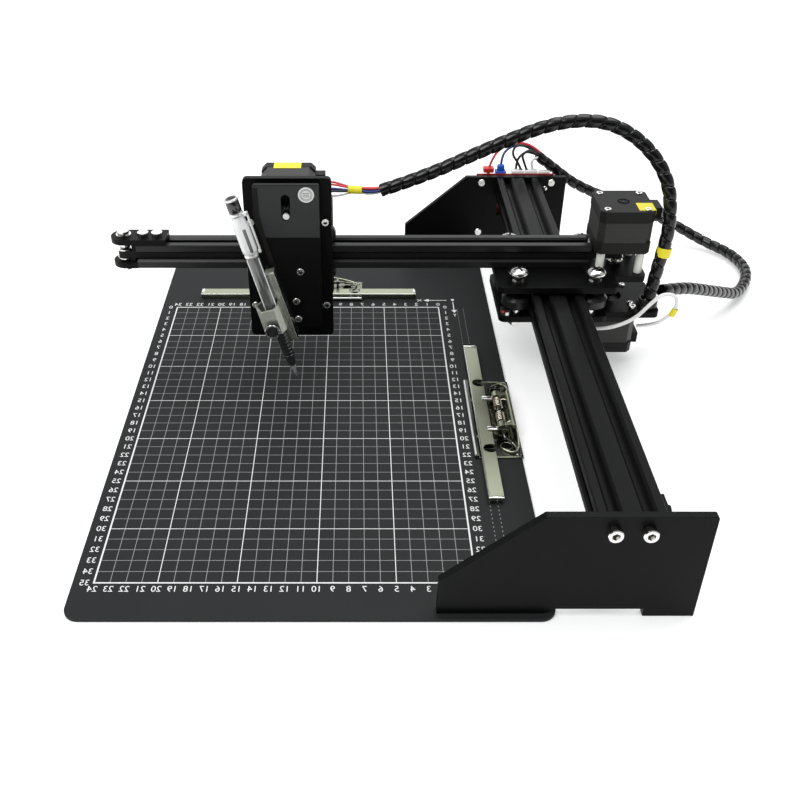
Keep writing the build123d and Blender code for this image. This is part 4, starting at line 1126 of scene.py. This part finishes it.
metal_tip = pen_part(
    "pen_metal",
    SATIN,
    [
        [
            (0, 0), (0.3, 0), (0.5, 0.6), (0.95, 2.6), (1.15, 3),
            (1.3, 5), (1.9, 7.4), (2.6, 10.5), (2.7, 11.5), (0, 11.5),
        ],
        [
            (4.2, 110.5), (5.0, 110.5), (5.3, 111.2), (5.5, 112.2),
            (5.3, 113.4), (4.9, 114.2), (4.2, 114.2), (4.2, 110.5),
        ],
        [(3.6, 144.8), (4.9, 144.8), (5.2, 145.4), (5.2, 147.2), (4.9, 147.8), (3.6, 147.8), (3.6, 144.8)],
        [(4.4, 157.4), (5.1, 157.4), (5.1, 158.7), (4.7, 158.9), (4.1, 158.8), (4.1, 157.4), (4.4, 157.4)],
    ],
)
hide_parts("pen")
pen_part(
    "pen_grip",
    PEN_GRIP,
    [[(0, 11), (2.75, 11.2), (3.6, 15), (4.2, 19), (4.45, 26), (4.45, 48), (4.3, 53), (0, 53)]],
)
grip_rings = []
for k in range(9):
    z = 20 + 3.2 * k
    grip_rings.append([(4.2, z), (4.62, z + 0.3), (4.7, z + 0.9), (4.62, z + 1.5), (4.2, z + 1.8), (4.2, z)])
pen_part("pen_grip_rings", PEN_GRIP, grip_rings)
pen_part("pen_barrel", PEN_SMOKE, [[(0, 52.6), (4.6, 52.6), (4.75, 53.4), (4.75, 110), (4.5, 111), (0, 111)]])
# White strips along both edges of the smoked barrel are painted highlights.
glints = []
for u in (-4.2, 4.1):
    glint = [(u, -1.7, 56), (u, -1.8, 80), (u, -1.7, 109)]
    glints.append((evaluated(route_curve("glint", glint, 0.75, PEN_WHITE)), PEN_FRAME))
piece("pen_barrel_painted_glints", "lifter", PEN_WHITE, glints)
pen_part(
    "pen_cap",
    PEN_WHITE,
    [
        [
            (0, 113.6), (5.0, 113.8), (5.7, 115), (5.95, 118), (5.95, 134),
            (5.5, 138), (4.9, 140), (4.6, 145), (0, 145),
        ]
    ],
)
pen_part(
    "pen_button",
    PEN_GRIP,
    [
        [
            (0, 147.6), (4.6, 147.6), (4.95, 148.4), (5.0, 153),
            (4.95, 156.4), (4.6, 157.4), (4.2, 157.8), (0, 157.4),
        ]
    ],
)
clip_parts = [
    (rounded_block((6.9, -1.7, 112.6), (8.15, 1.7, 146), 0.5), PEN_FRAME),
    (rounded_block((4.6, -1.7, 143.2), (8.15, 1.7, 146), 0.5), PEN_FRAME),
    (rounded_block((6.0, -1.5, 112.6), (8.0, 1.5, 115.4), 0.6), PEN_FRAME),
]
piece("pen_clip", "lifter", PEN_WHITE, clip_parts)
streak_route = [(2.0, -4.5, 116), (2.0, -4.8, 124), (2.0, -4.6, 135)]
streak = evaluated(route_curve("streak", streak_route, 1.5, PEN_SMOKE))
piece("pen_cap_streak", "lifter", PEN_SMOKE, [(streak, PEN_FRAME)])

RIDGES = 24
knurls = [(turned([(0, 0), (5.5, 0), (5.8, 0.5), (5.8, 4.5), (5.5, 5), (0, 5)], 36), facing(0, 0, 0, FRONT))]
rim = turned([(4.6, 4.6), (5.7, 4.6), (5.9, 4.9), (5.7, 5.2), (4.6, 5.2), (4.6, 4.6)], 48)
for k in range(RIDGES):
    turn = 2 * math.pi * k / RIDGES
    ridge = rounded_block((5.5, -0.35, 0.6), (6.0, 0.35, 4.4), 0.12, 1)
    knurls.append((ridge, facing(0, 0, 0, FRONT) @ Matrix.Rotation(turn, 4, "Z")))
seat = PEN_FRAME @ Matrix.Translation(mm(-2, -11.5, 53))
knob_parts = [(data, seat @ matrix) for data, matrix in knurls]
knob_parts.append((turned([(0, -6.2), (1.85, -6.2), (1.85, 0), (0, 0)], 24), seat @ facing(0, 0, 0, FRONT)))
made = piece("thumbscrew_knob", "thumbscrew", PEN_GRIP, knob_parts)
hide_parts("thumbscrew")
small_nut = turned([(2.4, -1.2), (3.3, -1.2), (3.3, -0.2), (2.4, -0.2), (2.4, -1.2)], 6)
rim_parts = [(data, seat @ facing(0, 0, 0, FRONT)) for data in (rim, small_nut)]
piece("thumbscrew_rim", "thumbscrew", CHROME, rim_parts)
end_cap = rounded_block((2.8, 4.4, 90.6), (10.1, 13, 91.6), 0.3)
piece("channel_end_cap", "lifter", SILVER, [(end_cap, PEN_FRAME)])


# ---------------------------------------------------------------- floor, light and world
FLOOR_REACH = 6
FLOOR_DROP = 0.0004
floor_mesh = bpy.data.meshes.new("floor")
floor_corners = [(FLOOR_REACH * x, FLOOR_REACH * y, 0) for x, y in ((-1, -1), (1, -1), (1, 1), (-1, 1))]
floor_mesh.from_pydata(floor_corners, [], [(0, 1, 2, 3)])
FLOOR = varied("floor_pale", (0.86, 0.86, 0.85), (0.89, 0.89, 0.88), (0.6, 0.7), scale=3, grain=300)
floor_shader = FLOOR.node_tree.nodes["Principled BSDF"]
floor_shader.inputs["Emission Color"].default_value = (1, 1, 1, 1)
floor_shader.inputs["Emission Strength"].default_value = 0.32
floor = link_mesh("floor", floor_mesh, FLOOR)
floor.location.z = -FLOOR_DROP


def softbox(name, place, target, width, height, power):
    """An area light aimed at a point, in metres, that the camera doesn't see."""
    data = bpy.data.lights.new(name, "AREA")
    data.shape = "RECTANGLE"
    data.size = width
    data.size_y = height
    data.energy = power
    made = bpy.data.objects.new(name, data)
    made.location = place
    made.rotation_euler = (Vector(target) - Vector(place)).to_track_quat("-Z", "Y").to_euler()
    made.visible_camera = False
    scene.collection.objects.link(made)


# A dark card behind the camera, seen only in reflections, keeps the black fronts black.
card_mesh = bpy.data.meshes.new("dark_card")
CARD_HALF = 1.6
CARD_Y = -1.15
card_corners = [(x, CARD_Y, z) for x, z in ((-CARD_HALF, 0), (CARD_HALF, 0), (CARD_HALF, 1.3), (-CARD_HALF, 1.3))]
card_mesh.from_pydata(card_corners, [], [(0, 1, 2, 3)])
dark_card = link_mesh("dark_card", card_mesh, SHADE_AND_CARD_BLACK)
dark_card.visible_camera = False
dark_card.visible_shadow = False
dark_card.visible_diffuse = False

softbox("key", (-0.9, -0.7, 1.7), (0, 0, 0.05), 1.2, 1.2, 22)
softbox("top", (0.5, 0.5, 1.9), (0.1, 0, 0), 1.6, 1.6, 26)
softbox("back", (0.1, 2.6, 1.1), (0, 0.2, 0), 3.4, 0.7, 9)

world = bpy.data.worlds.new("studio")
scene.world = world
world.use_nodes = True
backdrop = world.node_tree.nodes["Background"]
backdrop.inputs["Color"].default_value = (0.95, 0.97, 1.0, 1)
backdrop.inputs["Strength"].default_value = 0.5
scene.view_settings.view_transform = "Standard"

bpy.context.view_layer.update()
